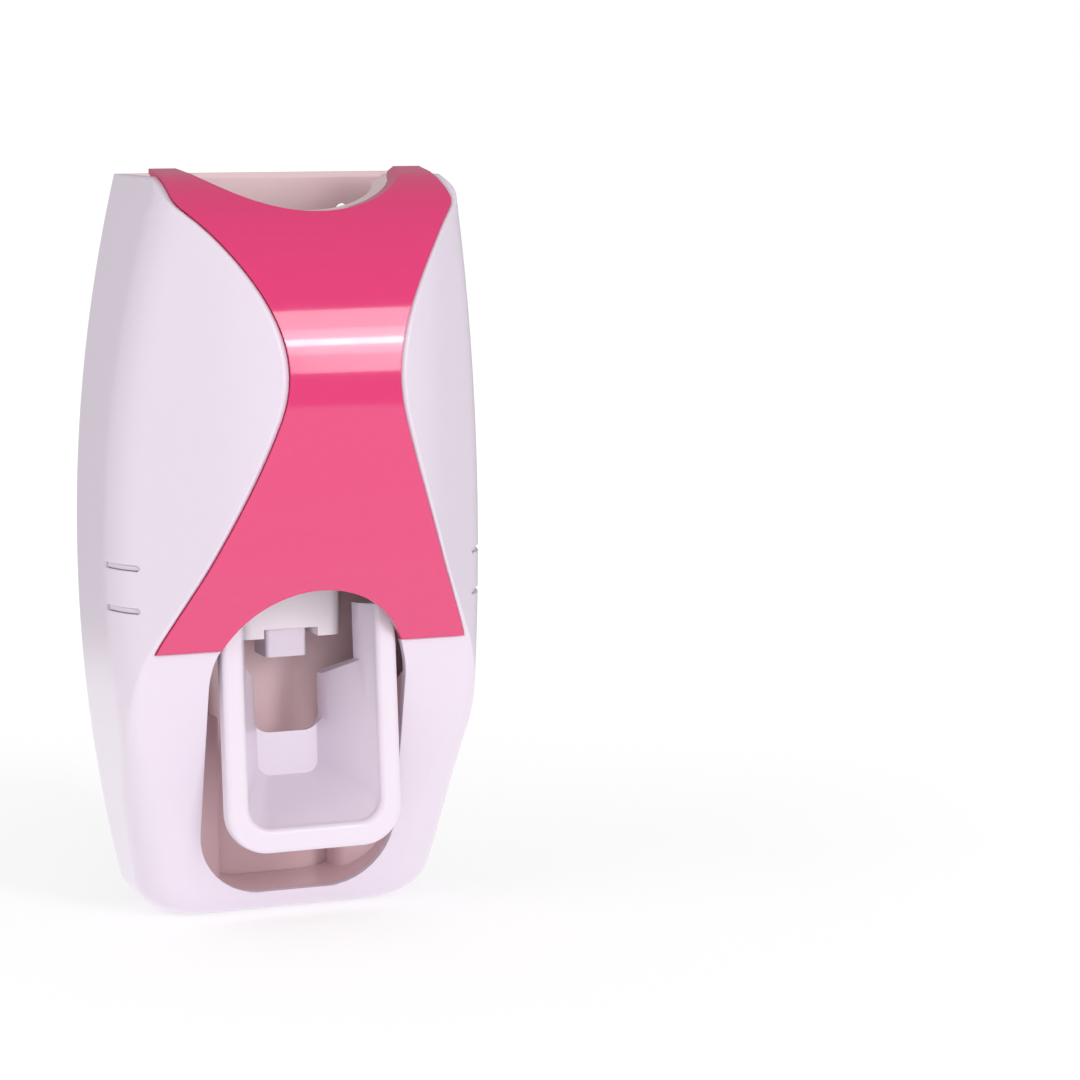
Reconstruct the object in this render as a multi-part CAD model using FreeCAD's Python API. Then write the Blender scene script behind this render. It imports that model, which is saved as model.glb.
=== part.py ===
"""Wall-hung push-lever toothpaste dispenser.

Millimetres, +Z up, +Y towards the wall, origin at the middle of the base.
The outer form is three profiles that cross: the side profile of the front,
the plan of the cheeks and the barrel outline seen from the front.
"""
import FreeCAD
import Part
import math
import os
from FreeCAD import Vector

# Overall size
HEIGHT = 165.0
WIDTH = 85.0
DEPTH = 60.0
TALLNESS = HEIGHT / 165.0   # the side profile grows with the height

# Walls and clearances
WALL = 2.0                  # sides, cheeks and floor of the front housing
COVER_THICKNESS = 2.5       # rear cover plate
PANEL_THICKNESS = 1.6       # coloured front panel
PANEL_PROUD = 0.5           # panel face above the white front below it
PANEL_OVERHANG = 0.25       # panel edge past the cheek crease
SEAT_GAP = 0.15             # between fixed pieces that drop into one another
PRESS_GAP = 0.02            # pressed pieces, line to line
RUN_GAP = 0.05              # radial, turning and sliding fits
MOVE_GAP = 0.6              # beside pieces that swing
MARGIN = 5.0                # how far a cutting shape passes the piece it cuts
TINY = 0.001

# Side profile of the front, from the base up: leans are from upright, forward positive
LOWER_LEAN = 13.2
PANEL_LEAN = 30.0
BELLY_LEAN = 13.0
CROWN_LEAN = -84.0
KINK_RADIUS = 20.0 * TALLNESS
PANEL_RUN = 17.0 * TALLNESS
BELLY_RADIUS = 130.0 * TALLNESS
NOSE_RADIUS = 42.0 * TALLNESS
CROWN_RUN = 2.0 * TALLNESS  # nearly level run at the top, back to the rear of the ears
FOOT_ABOVE_KINK = 4.9 * TALLNESS    # panel's lower edge above the start of the kink

# Plan of the cheeks and barrel outline
CHEEK_ANGLE = 50.0
CHEEK_RADIUS = 67.0
CHEEK_TANGENT = (WIDTH / 2 - 17.0, -0.305 * DEPTH)
CHEEK_CORNER_RADIUS = 17.0
BARREL_RADIUS = 335.0
BARREL_WIDEST_Z = 83.0 * TALLNESS
BASE_CORNER_RADIUS = 11.0
LOWER_EDGE_RADIUS = 9.0
RIB = 1.5                   # rib inside the housing at the panel's lower edge
RIB_REAR_Y = 12.0

# Panel outline
SHOULDER_X = WIDTH / 2 - 11.2
SHOULDER_TAPER = 1.0        # how much narrower the panel is at its top edge
SHOULDER_DROP = 7.0         # shoulder corner below the top
SCOOP_RADIUS = 39.5
SCOOP_DROP = 8.6            # deepest point of the scoop below the top
PEG_RADIUS = 1.5
PEG_REACH = 2.5             # peg past the housing wall
PEGS = ((9.0, 51.0), (9.0, 73.0), (27.0, 11.0))    # x, and height above the panel's lower edge

# Brush opening and the bowl behind it
OPENING_HALF = 22.4
OPENING_CORNER = 15.0
OPENING_FLOOR_Z = 5.5
ARCH_BELOW_FOOT = 9.2       # arch centre below the panel's lower edge
ARCH_RELIEF = 3.0           # housing arch is this much larger than the panel's
BOWL_WALL = 1.6
BOWL_STRAIGHT_Y = 10.5      # bowl sides stay straight back to here
BOWL_REAR_HALF = 13.5
BOWL_BEND_RADIUS = 6.0
BOWL_LIP_BELOW_FOOT = 6.0   # bowl rim at the front, below the panel's lower edge
BOWL_LIP_SLOPE = 30.0       # rim falls towards the wall, degrees
BOWL_REAR_GAP = 0.7
BOWL_FLANGE = 3.0           # flange past the bowl's wall, behind the front

# Rear cover
KEYHOLE_X = 19.0
KEYHOLE_BELOW_TOP = 19.0
KEYHOLE_RADIUS = 4.0
KEYHOLE_SLOT_RADIUS = 2.0
KEYHOLE_SLOT_RISE = 8.4
COVER_LIP = 1.2             # chamfer on the inner top edge
SLOTS_ABOVE_FOOT = (9.3, 18.5)
SLOT_TALL = 1.3
SLOT_Y = (-3.8, 6.4)
TONGUE_THICKNESS = 1.6
TONGUE_BORDER = 5.0         # tongue above and below its barbs
TONGUE_TIP = 1.0            # tongue ahead of its barbs
BARB_SETBACK = 0.6          # barb face below the outer skin

# Pump, measured back from the rear cover and up from the panel's lower edge
PUMP_REAR_GAP = 3.0
PISTON_ABOVE_FOOT = 21.0
PIVOT_ABOVE_FOOT = 35.0
DECK_ABOVE_FOOT = 43.0
DECK_THICKNESS = 2.4
BORE_RADIUS = 7.5
CYLINDER_WALL = 2.1
CYLINDER_LENGTH = 13.5
CYLINDER_END = 2.0
FLANGE_THICKNESS = 3.0
FLANGE_AHEAD = 10.0         # flange ahead of the lever pivot
FLANGE_SCREW_INSET = 3.5    # screws in from the flange's front and rear
EAR_THICKNESS = 3.0
EAR_RADIUS = 5.2
PIVOT_TO_REAR = 27.5        # pivot axis ahead of the rear cover
PIVOT_RADIUS = 2.0
PIN_HEAD_RADIUS = 3.2
CLIP_GAP = 0.3
CLIP_THICKNESS = 0.8
CLIP_RADIUS = 4.0
CLIP_MOUTH = 2.4
PORT_RADIUS = 1.8
PORT_SETBACK = 0.5          # ports ahead of the cylinder's end
DUCT_RADIUS = 3.0
DUCT_WALL = 1.2
TUBE_TO_REAR = 21.5         # tube axis ahead of the rear cover
CUP_RADIUS = 11.0
CUP_BORE = 9.0
CUP_RISE = 9.0
CUP_FLOOR = 2.0
NECK_RADIUS = 5.6           # bore that takes the neck of the tube
COLLAR_WALL = 2.0
COLLAR_RISE = 12.5
COLLAR_TOP = 2.0
COLLAR_MOUTH = 8.0
COLLAR_GRIPS = 16
COLLAR_GRIP_RADIUS = 0.8
SEAL_LIP = 1.3
VALVE_THICKNESS = 1.0
FLAP_RADIUS = 3.6
FLAP_SLIT = 0.4
SPINE_HALF = 7.0

# Nozzle and the shroud round it
NOZZLE_SIDE = 9.4
NOZZLE_FRONT_TO_REAR = 14.8
NOZZLE_TIP_BELOW_FOOT = 5.3
NOZZLE_BORE = 3.0
NOZZLE_EXIT = 2.2
NOZZLE_EDGE = 1.0
SPIGOT_RADIUS = 4.6
SPIGOT_RISE = 5.1
PLENUM_RADIUS = 4.0
PLENUM_TALL = 1.2
DUCKBILL_LENGTH = 5.0
DUCKBILL_TIP = 0.8
SHROUD_HALF = 12.0
SHROUD_WALL = 1.6
SHROUD_FLOOR = 2.0
SHROUD_FRONT_TO_REAR = 18.3
SHROUD_FLOOR_ABOVE_FOOT = 1.5
SHROUD_TALL = 9.4
SHROUD_RADIUS = 3.0
RAIL_DROP = 2.0             # side rails below the shroud's floor
RAIL_INNER = 6.2

# Piston and its return spring
CROSSHEAD_TALL = 6.0
CROSSHEAD_EDGE = 1.0
ROD_RADIUS = 3.5
PISTON_LENGTH = 5.0
PISTON_BACK_GAP = 4.5       # paste chamber behind the piston at rest
SEAL_SECTION = 0.8
CROSS_PIN_RADIUS = 1.5
GLAND_THICKNESS = 2.4
GLAND_SPIGOT = 1.4
SPRING_RADIUS = 5.2
SPRING_WIRE = 0.45
SPRING_TURNS = 3.5

# Push lever
LEVER_SWING = 10.0          # degrees from rest to fully pushed
LEVER_LEAN = 5.0
LEVER_BEHIND_PANEL = 0.5
RING_HALF = 19.8
RING_BAR = 4.8
RING_BOTTOM_BAR = 5.4
RING_THICKNESS = 4.0
RING_BOTTOM_Z = 17.9
RING_CORNER = 9.0
RING_EDGE = 1.2
RING_ABOVE_FOOT = 8.0       # ring's bars run up behind the panel
ARM_THICKNESS = 3.0
ARM_BEND = 8.0
SLOT_PLAY = 0.3             # height that the cross pin has in its slots
FUNNEL_DEPTH = 19.5
FUNNEL_WALL = 1.8
FUNNEL_FRONT_CORNER = 5.0
FUNNEL_REAR_HALF = 7.0
FUNNEL_REAR_BOTTOM_Z = 32.4
FUNNEL_REAR_CORNER = 3.0
WINDOW_BOTTOM_Z = 42.0
WINDOW_HALF = 8.0
WINDOW_CORNER = 4.0
WINDOW_STEP_BELOW_FOOT = 8.0
WINDOW_STEP_RISE = 3.5

# Screws
SCREW_RADIUS = 1.25
SCREW_HEAD_RADIUS = 2.4
SCREW_HEAD = 1.6
SCREW_LENGTH = 6.0
SCREW_SLOT = 0.6
LEDGE_WIDTH = 7.0
LEDGE_TALL = 4.0
LEDGE_Y = (-3.0, 20.0)
LEDGE_SCREW_REAR_Y = 16.0
LEDGE_SCREW_BEHIND_CHEEK = 3.0      # front ledge screws behind the corner of the cheek

# Places that follow from the sizes above
BACK_Y = DEPTH / 2
COVER_Y = BACK_Y - COVER_THICKNESS
RECESS = PANEL_THICKNESS + SEAT_GAP
RIM_Z = HEIGHT - PANEL_THICKNESS


def sine(degrees):
    return math.sin(math.radians(degrees))


def cosine(degrees):
    return math.cos(math.radians(degrees))


KINK_RISE = KINK_RADIUS * (sine(PANEL_LEAN) - sine(LOWER_LEAN))
BELLY_RISE = BELLY_RADIUS * (sine(PANEL_LEAN) - sine(BELLY_LEAN))
NOSE_RISE = NOSE_RADIUS * (sine(BELLY_LEAN) - sine(CROWN_LEAN))
RUNS_RISE = PANEL_RUN * cosine(PANEL_LEAN) + CROWN_RUN * cosine(CROWN_LEAN)
KINK_Z = HEIGHT - KINK_RISE - BELLY_RISE - NOSE_RISE - RUNS_RISE
FOOT_Z = KINK_Z + FOOT_ABOVE_KINK
ARCH_Z = FOOT_Z - ARCH_BELOW_FOOT
PISTON_Z = FOOT_Z + PISTON_ABOVE_FOOT
PIVOT_Z = FOOT_Z + PIVOT_ABOVE_FOOT
PIVOT_Y = COVER_Y - PIVOT_TO_REAR
DECK_Z = FOOT_Z + DECK_ABOVE_FOOT
PUMP_REAR_Y = COVER_Y - PUMP_REAR_GAP
CYLINDER_Y = PUMP_REAR_Y - CYLINDER_LENGTH
CYLINDER_RADIUS = BORE_RADIUS + CYLINDER_WALL
BORE_END_Y = PUMP_REAR_Y - CYLINDER_END
PORT_Y = BORE_END_Y - PORT_RADIUS - PORT_SETBACK
TUBE_Y = COVER_Y - TUBE_TO_REAR
NOZZLE_Y = COVER_Y - NOZZLE_FRONT_TO_REAR + NOZZLE_SIDE / 2
SHROUD_Y = COVER_Y - SHROUD_FRONT_TO_REAR
SHROUD_Z = FOOT_Z + SHROUD_FLOOR_ABOVE_FOOT
NOZZLE_TOP_Z = SHROUD_Z + SHROUD_FLOOR
SPIGOT_TOP_Z = NOZZLE_TOP_Z + SPIGOT_RISE
CRANK = PIVOT_Z - PISTON_Z
STROKE = 2 * CRANK * math.tan(math.radians(LEVER_SWING / 2))
CROSS_PIN_Y = PIVOT_Y - STROKE / 2
PISTON_REAR_Y = BORE_END_Y - PISTON_BACK_GAP
ARM_OUTER = RING_HALF - SEAT_GAP
ARM_INNER = ARM_OUTER - ARM_THICKNESS
PUMP_HALF = ARM_INNER - MOVE_GAP
GLAND_FRONT_Y = CYLINDER_Y - GLAND_THICKNESS


def box(x, y, z):
    """Block between three pairs of limits."""
    return Part.makeBox(x[1] - x[0], y[1] - y[0], z[1] - z[0], Vector(x[0], y[0], z[0]))


def rod(start, end, radius):
    """Cylinder between two points."""
    along = Vector(*end) - Vector(*start)
    return Part.makeCylinder(radius, along.Length, Vector(*start), along)


def pipe(start, end, outer, inner):
    """Cylinder with a bore right through."""
    return rod(start, end, outer).cut(rod(start, end, inner))


def both_sides(shape):
    """The shape and its mirror image across the middle plane."""
    return shape.fuse(shape.mirror(Vector(0, 0, 0), Vector(1, 0, 0)))


def joined(shapes):
    """One solid from shapes that overlap."""
    return shapes[0].multiFuse(shapes[1:]).removeSplitter()


def outline_edges(corners, place):
    """Edges of a closed outline whose corners (u, v, radius) are rounded."""
    spans = []
    for index, (u, v, radius) in enumerate(corners):
        here = Vector(u, v, 0)
        before = Vector(*corners[index - 1][:2], 0) - here
        after = Vector(*corners[(index + 1) % len(corners)][:2], 0) - here
        before.normalize()
        after.normalize()
        half = before.getAngle(after) / 2
        bisector = before + after
        if radius == 0 or bisector.Length < TINY:
            spans.append((here, None, here))
            continue
        bisector.normalize()
        reach = radius / math.tan(half)
        middle = here + bisector * (radius / math.sin(half) - radius)
        spans.append((here + before * reach, middle, here + after * reach))
    edges = []
    for index, (start, middle, end) in enumerate(spans):
        if middle is not None:
            edges.append(Part.Arc(place(start), place(middle), place(end)).toShape())
        following = spans[(index + 1) % len(spans)][0]
        if end.distanceToPoint(following) > TINY:
            edges.append(Part.makeLine(place(end), place(following)))
    return edges


def prism(corners, axis, start, end):
    """Outline with rounded corners, pushed along one axis from start to end."""
    place = {
        "x": lambda p: Vector(start, p.x, p.y),
        "y": lambda p: Vector(p.x, start, p.y),
        "z": lambda p: Vector(p.x, p.y, start),
    }[axis]
    along = {"x": Vector(1, 0, 0), "y": Vector(0, 1, 0), "z": Vector(0, 0, 1)}[axis]
    face = Part.Face(Part.Wire(outline_edges(corners, place)))
    return face.extrude(along * (end - start))


def mirrored_corners(corners):
    """Right-hand corners from bottom to top, with their left-hand twins."""
    return corners + [(-u, v, r) for u, v, r in reversed(corners)]


# Outer form

def inward(lean):
    """Unit normal into the body, as (y, z), where the front has this lean."""
    return cosine(lean), sine(lean)


def front_chain(inset):
    """Side profile as (kind, start, middle, end) steps, moved into the body by inset."""
    steps = (
        ("line", KINK_Z / cosine(LOWER_LEAN), LOWER_LEAN),
        ("arc", KINK_RADIUS, PANEL_LEAN),
        ("line", PANEL_RUN, PANEL_LEAN),
        ("arc", BELLY_RADIUS, BELLY_LEAN),
        ("arc", NOSE_RADIUS, CROWN_LEAN),
        ("line", CROWN_RUN, CROWN_LEAN),
    )
    reach = KINK_Z * math.tan(math.radians(LOWER_LEAN))
    reach += KINK_RADIUS * (cosine(LOWER_LEAN) - cosine(PANEL_LEAN)) + PANEL_RUN * sine(PANEL_LEAN)
    reach += BELLY_RADIUS * (cosine(BELLY_LEAN) - cosine(PANEL_LEAN)) + NOSE_RADIUS * (1 - cosine(BELLY_LEAN))
    lean = LOWER_LEAN
    normal = inward(lean)
    point = (reach - DEPTH / 2 + normal[0] * inset, normal[1] * inset)
    chain = []
    for kind, size, next_lean in steps:
        if kind == "line":
            end = (point[0] - size * sine(lean), point[1] + size * cosine(lean))
            middle = None
        else:
            side = 1 if next_lean < lean else -1
            radius = side * size - inset
            at = [inward(lean), inward((lean + next_lean) / 2), inward(next_lean)]
            centre = (point[0] + at[0][0] * radius, point[1] + at[0][1] * radius)
            middle = (centre[0] - at[1][0] * radius, centre[1] - at[1][1] * radius)
            end = (centre[0] - at[2][0] * radius, centre[1] - at[2][1] * radius)
        chain.append((kind, point, middle, end))
        point = end
        lean = next_lean
    return chain


def front_y(z, inset=0.0):
    """Front of the body at one height, found on a thin slice of the profile."""
    line = Part.makeLine(Vector(0, -DEPTH, z), Vector(0, DEPTH, z))
    found = [line.distToShape(edge) for edge in front_edges(inset)]
    return min(points[0][0].y for distance, points, _ in found if distance < TINY)


def front_edges(inset):
    """Edges of the side profile, with its foot run on below the base."""
    chain = front_chain(inset)
    start = chain[0][1]
    below = (start[0] + MARGIN * sine(LOWER_LEAN), start[1] - MARGIN * cosine(LOWER_LEAN))
    edges = [Part.makeLine(Vector(0, *below), Vector(0, *chain[0][3]))]
    for kind, begin, middle, end in chain[1:]:
        if kind == "line":
            edges.append(Part.makeLine(Vector(0, *begin), Vector(0, *end)))
        else:
            edges.append(Part.Arc(Vector(0, *begin), Vector(0, *middle), Vector(0, *end)).toShape())
    return edges


def front_block(inset):
    """Everything behind the side profile, wider than the body."""
    edges = front_edges(inset)
    first = edges[0].Vertexes[0].Point
    last = edges[-1].Vertexes[-1].Point
    back = BACK_Y + MARGIN
    top = HEIGHT + MARGIN
    turn = [last, Vector(0, last.y, top), Vector(0, back, top), Vector(0, back, first.z), first]
    edges += [Part.makeLine(a, b) for a, b in zip(turn, turn[1:])]
    return Part.Face(Part.Wire(edges)).extrude(Vector(WIDTH + 2 * MARGIN, 0, 0)).translated(
        Vector(-WIDTH / 2 - MARGIN, 0, 0))


def cheek_block(inset):
    """Everything inside the plan of the two cheeks, taller than the body."""
    normal = Vector(-sine(CHEEK_ANGLE), cosine(CHEEK_ANGLE), 0)
    tangent = Vector(*CHEEK_TANGENT, 0)
    centre = tangent + normal * CHEEK_RADIUS
    radius = CHEEK_RADIUS - inset
    start = tangent + normal * inset
    peak = Vector(0, centre.y - math.sqrt(radius ** 2 - centre.x ** 2), 0)
    halfway = (start - centre) + (peak - centre)
    middle = centre + halfway.normalize() * radius
    side_x = WIDTH / 2 + MARGIN
    corner = start + Vector(1, math.tan(math.radians(CHEEK_ANGLE)), 0) * (side_x - start.x)
    rear = Vector(side_x, BACK_Y + MARGIN, 0)
    flip = [Vector(-p.x, p.y, 0) for p in (start, middle, corner, rear)]
    ring = [start, corner, rear, flip[3], flip[2], flip[0]]
    edges = [Part.Arc(peak, middle, start).toShape()]
    edges += [Part.makeLine(a, b) for a, b in zip(ring, ring[1:])]
    edges.append(Part.Arc(flip[0], flip[1], peak).toShape())
    face = Part.Face(Part.Wire(edges)).translated(Vector(0, 0, -MARGIN))
    return face.extrude(Vector(0, 0, HEIGHT + 2 * MARGIN))


def side_x(z, inset=0.0):
    """Half width of the barrel outline at one height."""
    return WIDTH / 2 - BARREL_RADIUS + math.sqrt((BARREL_RADIUS - inset) ** 2 - (z - BARREL_WIDEST_Z) ** 2)


def barrel_block(inset, bottom, rear):
    """Everything inside the barrel outline, from the bottom height up and forward of rear."""
    top = HEIGHT + MARGIN
    low = Vector(side_x(bottom, inset), rear, bottom)
    high = Vector(side_x(top, inset), rear, top)
    wide = Vector(WIDTH / 2 - inset, rear, BARREL_WIDEST_Z)
    left = [Vector(-p.x, p.y, p.z) for p in (low, wide, high)]
    edges = [Part.Arc(low, wide, high).toShape(), Part.makeLine(high, left[2]),
             Part.Arc(left[2], left[1], left[0]).toShape(), Part.makeLine(left[0], low)]
    return Part.Face(Part.Wire(edges)).extrude(Vector(0, -DEPTH - 2 * MARGIN, 0))


def base_corner(inset, bottom, rear):
    """What comes off the right-hand base corner to round it."""
    radius = BASE_CORNER_RADIUS - inset
    middle_x = WIDTH / 2 - BARREL_RADIUS
    rise = bottom + radius - BARREL_WIDEST_Z
    reach = BARREL_RADIUS - inset - radius
    centre = Vector(middle_x + math.sqrt(reach ** 2 - rise ** 2), rear, bottom + radius)
    out = (centre - Vector(middle_x, rear, BARREL_WIDEST_Z)).normalize()
    low = centre - Vector(0, 0, radius)
    high = centre + out * radius
    between = (out - Vector(0, 0, 1)).normalize()
    ring = [high, high + Vector(MARGIN, 0, 0), Vector(high.x + MARGIN, rear, bottom - MARGIN),
            low - Vector(0, 0, MARGIN), low]
    edges = [Part.Arc(low, centre + between * radius, high).toShape()]
    edges += [Part.makeLine(a, b) for a, b in zip(ring, ring[1:])]
    return Part.Face(Part.Wire(edges)).extrude(Vector(0, -DEPTH - 2 * MARGIN, 0))


def body_form(inset, bottom, rear):
    """Cheeks and barrel together, with their creases and the base corners rounded."""
    form = barrel_block(inset, bottom, rear).common(cheek_block(inset))
    outside = CHEEK_TANGENT[0] + MARGIN
    creases = [edge for edge in form.Edges
               if edge.BoundBox.ZLength > HEIGHT / 2 and abs(edge.CenterOfMass.x) > outside
               and edge.BoundBox.YMax < rear - MARGIN]
    form = form.makeFillet(CHEEK_CORNER_RADIUS - inset, creases)
    return form.cut(both_sides(base_corner(inset, bottom, rear)))


def slab(low, high):
    """All of the body between two heights."""
    reach = WIDTH / 2 + MARGIN
    return box((-reach, reach), (-DEPTH / 2 - MARGIN, BACK_Y + MARGIN), (low, high))


def on_front(edge, inset):
    """Whether an edge lies on the side profile."""
    middle = edge.valueAt((edge.FirstParameter + edge.LastParameter) / 2)
    return abs(middle.y - front_y(middle.z, inset)) < TINY * 10


def soften_lower_edges(form, inset, radius):
    """Round the upright edges where the lower front meets the sides."""
    edges = [edge for edge in form.Edges
             if TINY < edge.BoundBox.ZLength and abs(edge.CenterOfMass.x) > OPENING_HALF
             and edge.CenterOfMass.y < BACK_Y - MARGIN and on_front(edge, inset)]
    return form.makeFillet(radius, edges)


def lower_room(inset):
    """Space inside the front housing below the panel's lower edge, behind walls of this thickness."""
    room = body_form(inset, inset, BACK_Y + MARGIN).common(front_block(PANEL_PROUD + inset))
    room = room.common(slab(inset, FOOT_Z))
    return soften_lower_edges(room, PANEL_PROUD + inset, LOWER_EDGE_RADIUS - inset)


def opening_corners(grow):
    """Brush opening seen from the front, larger all round by grow."""
    half = OPENING_HALF + grow
    return mirrored_corners([(half, OPENING_FLOOR_Z - grow, OPENING_CORNER + grow),
                             (half, ARCH_Z + half, half)])


def bowl_corners(grow):
    """Plan of the bowl behind the brush opening, larger by grow."""
    half = OPENING_HALF + grow
    rear_half = BOWL_REAR_HALF + grow
    bend_y = BOWL_STRAIGHT_Y + grow * math.tan(math.radians(22.5))
    return mirrored_corners([(half, -DEPTH / 2, 0),
                             (half, bend_y, BOWL_BEND_RADIUS + grow),
                             (rear_half, bend_y + half - rear_half, BOWL_BEND_RADIUS - grow),
                             (rear_half, BACK_Y, 0)])


def bowl_volume(grow):
    """Space of the bowl up to the panel's lower edge."""
    plan = prism(bowl_corners(grow), "z", OPENING_FLOOR_Z - grow, FOOT_Z)
    return plan.common(prism(opening_corners(grow), "y", -DEPTH / 2, COVER_Y - BOWL_REAR_GAP))


def peg_places():
    """Middle of each panel peg, right-hand and left-hand."""
    return [(side * x, FOOT_Z + above) for x, above in PEGS for side in (1, -1)]


def scoop():
    """Round cutter for the dip between the panel's two ears."""
    centre_z = HEIGHT - SCOOP_DROP + SCOOP_RADIUS
    return rod((0, -DEPTH / 2 - MARGIN, centre_z), (0, ear_back_y() + MARGIN, centre_z), SCOOP_RADIUS)


def ear_back_y():
    """Rear end of the panel's ears, where the side profile ends."""
    return front_chain(0.0)[-1][3][0]


def slot_boxes(shrink):
    """Snap slots through both sides, smaller all round by shrink."""
    reach = WIDTH / 2 + MARGIN
    inner = WIDTH / 2 - 3 * MARGIN
    right = [box((inner, reach), (SLOT_Y[0] + shrink, SLOT_Y[1] - shrink),
                 (FOOT_Z + above - SLOT_TALL / 2 + shrink, FOOT_Z + above + SLOT_TALL / 2 - shrink))
             for above in SLOTS_ABOVE_FOOT]
    return both_sides(right[0].fuse(right[1]))


def panel_frame(grow):
    """Sides of the panel's shoulders and ears seen from the front, wider by grow."""
    top = HEIGHT + MARGIN
    wide = WIDTH / 2 + MARGIN
    shoulder_z = HEIGHT - 2 * SHOULDER_DROP
    right = [(wide, 0, 0), (wide, shoulder_z, 0), (SHOULDER_X + grow, shoulder_z, 0),
             (SHOULDER_X + grow - SHOULDER_TAPER, top, 0)]
    return prism(mirrored_corners(right), "y", -DEPTH, DEPTH)


def ledge_screw_places():
    """Where the deck is screwed to the housing's ledges."""
    x = side_x(DECK_Z, WALL) - LEDGE_WIDTH / 2
    corner_y = CHEEK_TANGENT[1] + (WIDTH / 2 - CHEEK_TANGENT[0]) * math.tan(math.radians(CHEEK_ANGLE))
    places = (corner_y + LEDGE_SCREW_BEHIND_CHEEK, LEDGE_SCREW_REAR_Y)
    return [(side * x, y) for y in places for side in (1, -1)]


def flange_screw_places():
    """Where the pump is screwed up to the deck."""
    x = PUMP_HALF - EAR_THICKNESS
    front = PIVOT_Y - FLANGE_AHEAD + FLANGE_SCREW_INSET
    rear = PUMP_REAR_Y - FLANGE_SCREW_INSET
    return [(side * x, y) for y in (front, rear) for side in (1, -1)]


def shroud_screw_places():
    """Where the shroud is screwed to the pump."""
    x = (RAIL_INNER + SHROUD_HALF) / 2
    return [(side * x, NOZZLE_Y) for side in (1, -1)]


def drill(shape, places, low, high, radius):
    """The shape with upright holes at the places."""
    for x, y in places:
        shape = shape.cut(rod((x, y, low), (x, y, high), radius))
    return shape


def foot_rib():
    """Rib inside both cheeks where the panel recess begins."""
    ring = body_form(WALL / 2, 0.0, BACK_Y).cut(body_form(WALL + RIB, 0.0, BACK_Y))
    right = box((OPENING_HALF + ARCH_RELIEF, WIDTH), (-DEPTH, RIB_REAR_Y), (FOOT_Z - RIB, FOOT_Z + RIB))
    return ring.common(front_block(RECESS + WALL / 2)).common(both_sides(right))


def front_housing():
    """White shell with the panel recess, brush opening, snap slots and deck ledges."""
    outer = body_form(0.0, 0.0, BACK_Y)
    lower = outer.common(front_block(PANEL_PROUD)).common(slab(0, FOOT_Z))
    lower = soften_lower_edges(lower, PANEL_PROUD, LOWER_EDGE_RADIUS)
    crown = outer.common(front_block(PANEL_PROUD)).cut(panel_frame(SEAT_GAP))
    upper = joined([outer.common(front_block(RECESS)), crown]).common(slab(FOOT_Z, RIM_Z))
    lower_hollow = lower_room(WALL)
    upper_hollow = body_form(WALL, WALL, BACK_Y + MARGIN).common(front_block(RECESS + WALL))
    upper_hollow = upper_hollow.common(slab(FOOT_Z, HEIGHT + MARGIN))
    shell = joined([lower.cut(lower_hollow), upper.cut(upper_hollow)])
    opening = prism(opening_corners(0.0), "y", -DEPTH / 2 - MARGIN, BOWL_STRAIGHT_Y + MARGIN)
    arch = rod((0, -DEPTH / 2, ARCH_Z), (0, BOWL_STRAIGHT_Y, ARCH_Z), OPENING_HALF + ARCH_RELIEF)
    shell = shell.cut(opening).cut(arch.common(slab(FOOT_Z, HEIGHT)))
    ledge = body_form(WALL / 2, 0.0, BACK_Y).common(
        box((side_x(DECK_Z, WALL) - LEDGE_WIDTH, WIDTH), LEDGE_Y, (DECK_Z - LEDGE_TALL, DECK_Z)))
    shell = joined([shell, both_sides(ledge), foot_rib()])
    shell = drill(shell, ledge_screw_places(), DECK_Z - LEDGE_TALL - MARGIN, DECK_Z + MARGIN, SCREW_RADIUS)
    for x, z in peg_places():
        shell = shell.cut(rod((x, -DEPTH / 2 - MARGIN, z), (x, PIVOT_Y, z), PEG_RADIUS + SEAT_GAP))
    return shell.cut(scoop()).cut(slot_boxes(0.0))


def drip_bowl():
    """Dished wall behind the brush opening, its rim falling back, with flanges behind the front."""
    inset = PANEL_PROUD + WALL + SEAT_GAP
    room = lower_room(WALL + SEAT_GAP)
    lip_z = FOOT_Z - BOWL_LIP_BELOW_FOOT
    fall = math.tan(math.radians(BOWL_LIP_SLOPE))
    start_y = -DEPTH / 2
    rim_y = front_y(lip_z)
    rear_z = lip_z - (BACK_Y - rim_y) * fall
    start_z = lip_z + (rim_y - start_y) * fall
    below_rim = prism([(start_y, -MARGIN, 0), (BACK_Y, -MARGIN, 0), (BACK_Y, rear_z, 0),
                       (start_y, start_z, 0)], "x", -WIDTH / 2, WIDTH / 2)
    wall = bowl_volume(BOWL_WALL).cut(bowl_volume(0.0))
    flange = prism(opening_corners(BOWL_WALL + BOWL_FLANGE), "y", start_y, BOWL_STRAIGHT_Y)
    flange = flange.cut(prism(opening_corners(BOWL_WALL / 2), "y", start_y, BOWL_STRAIGHT_Y))
    flange = flange.common(slab(OPENING_FLOOR_Z + OPENING_CORNER / 2, FOOT_Z - RIB - SEAT_GAP))
    flange = flange.cut(front_block(inset + BOWL_WALL))
    return joined([wall, flange]).common(below_rim).common(room)


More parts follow.
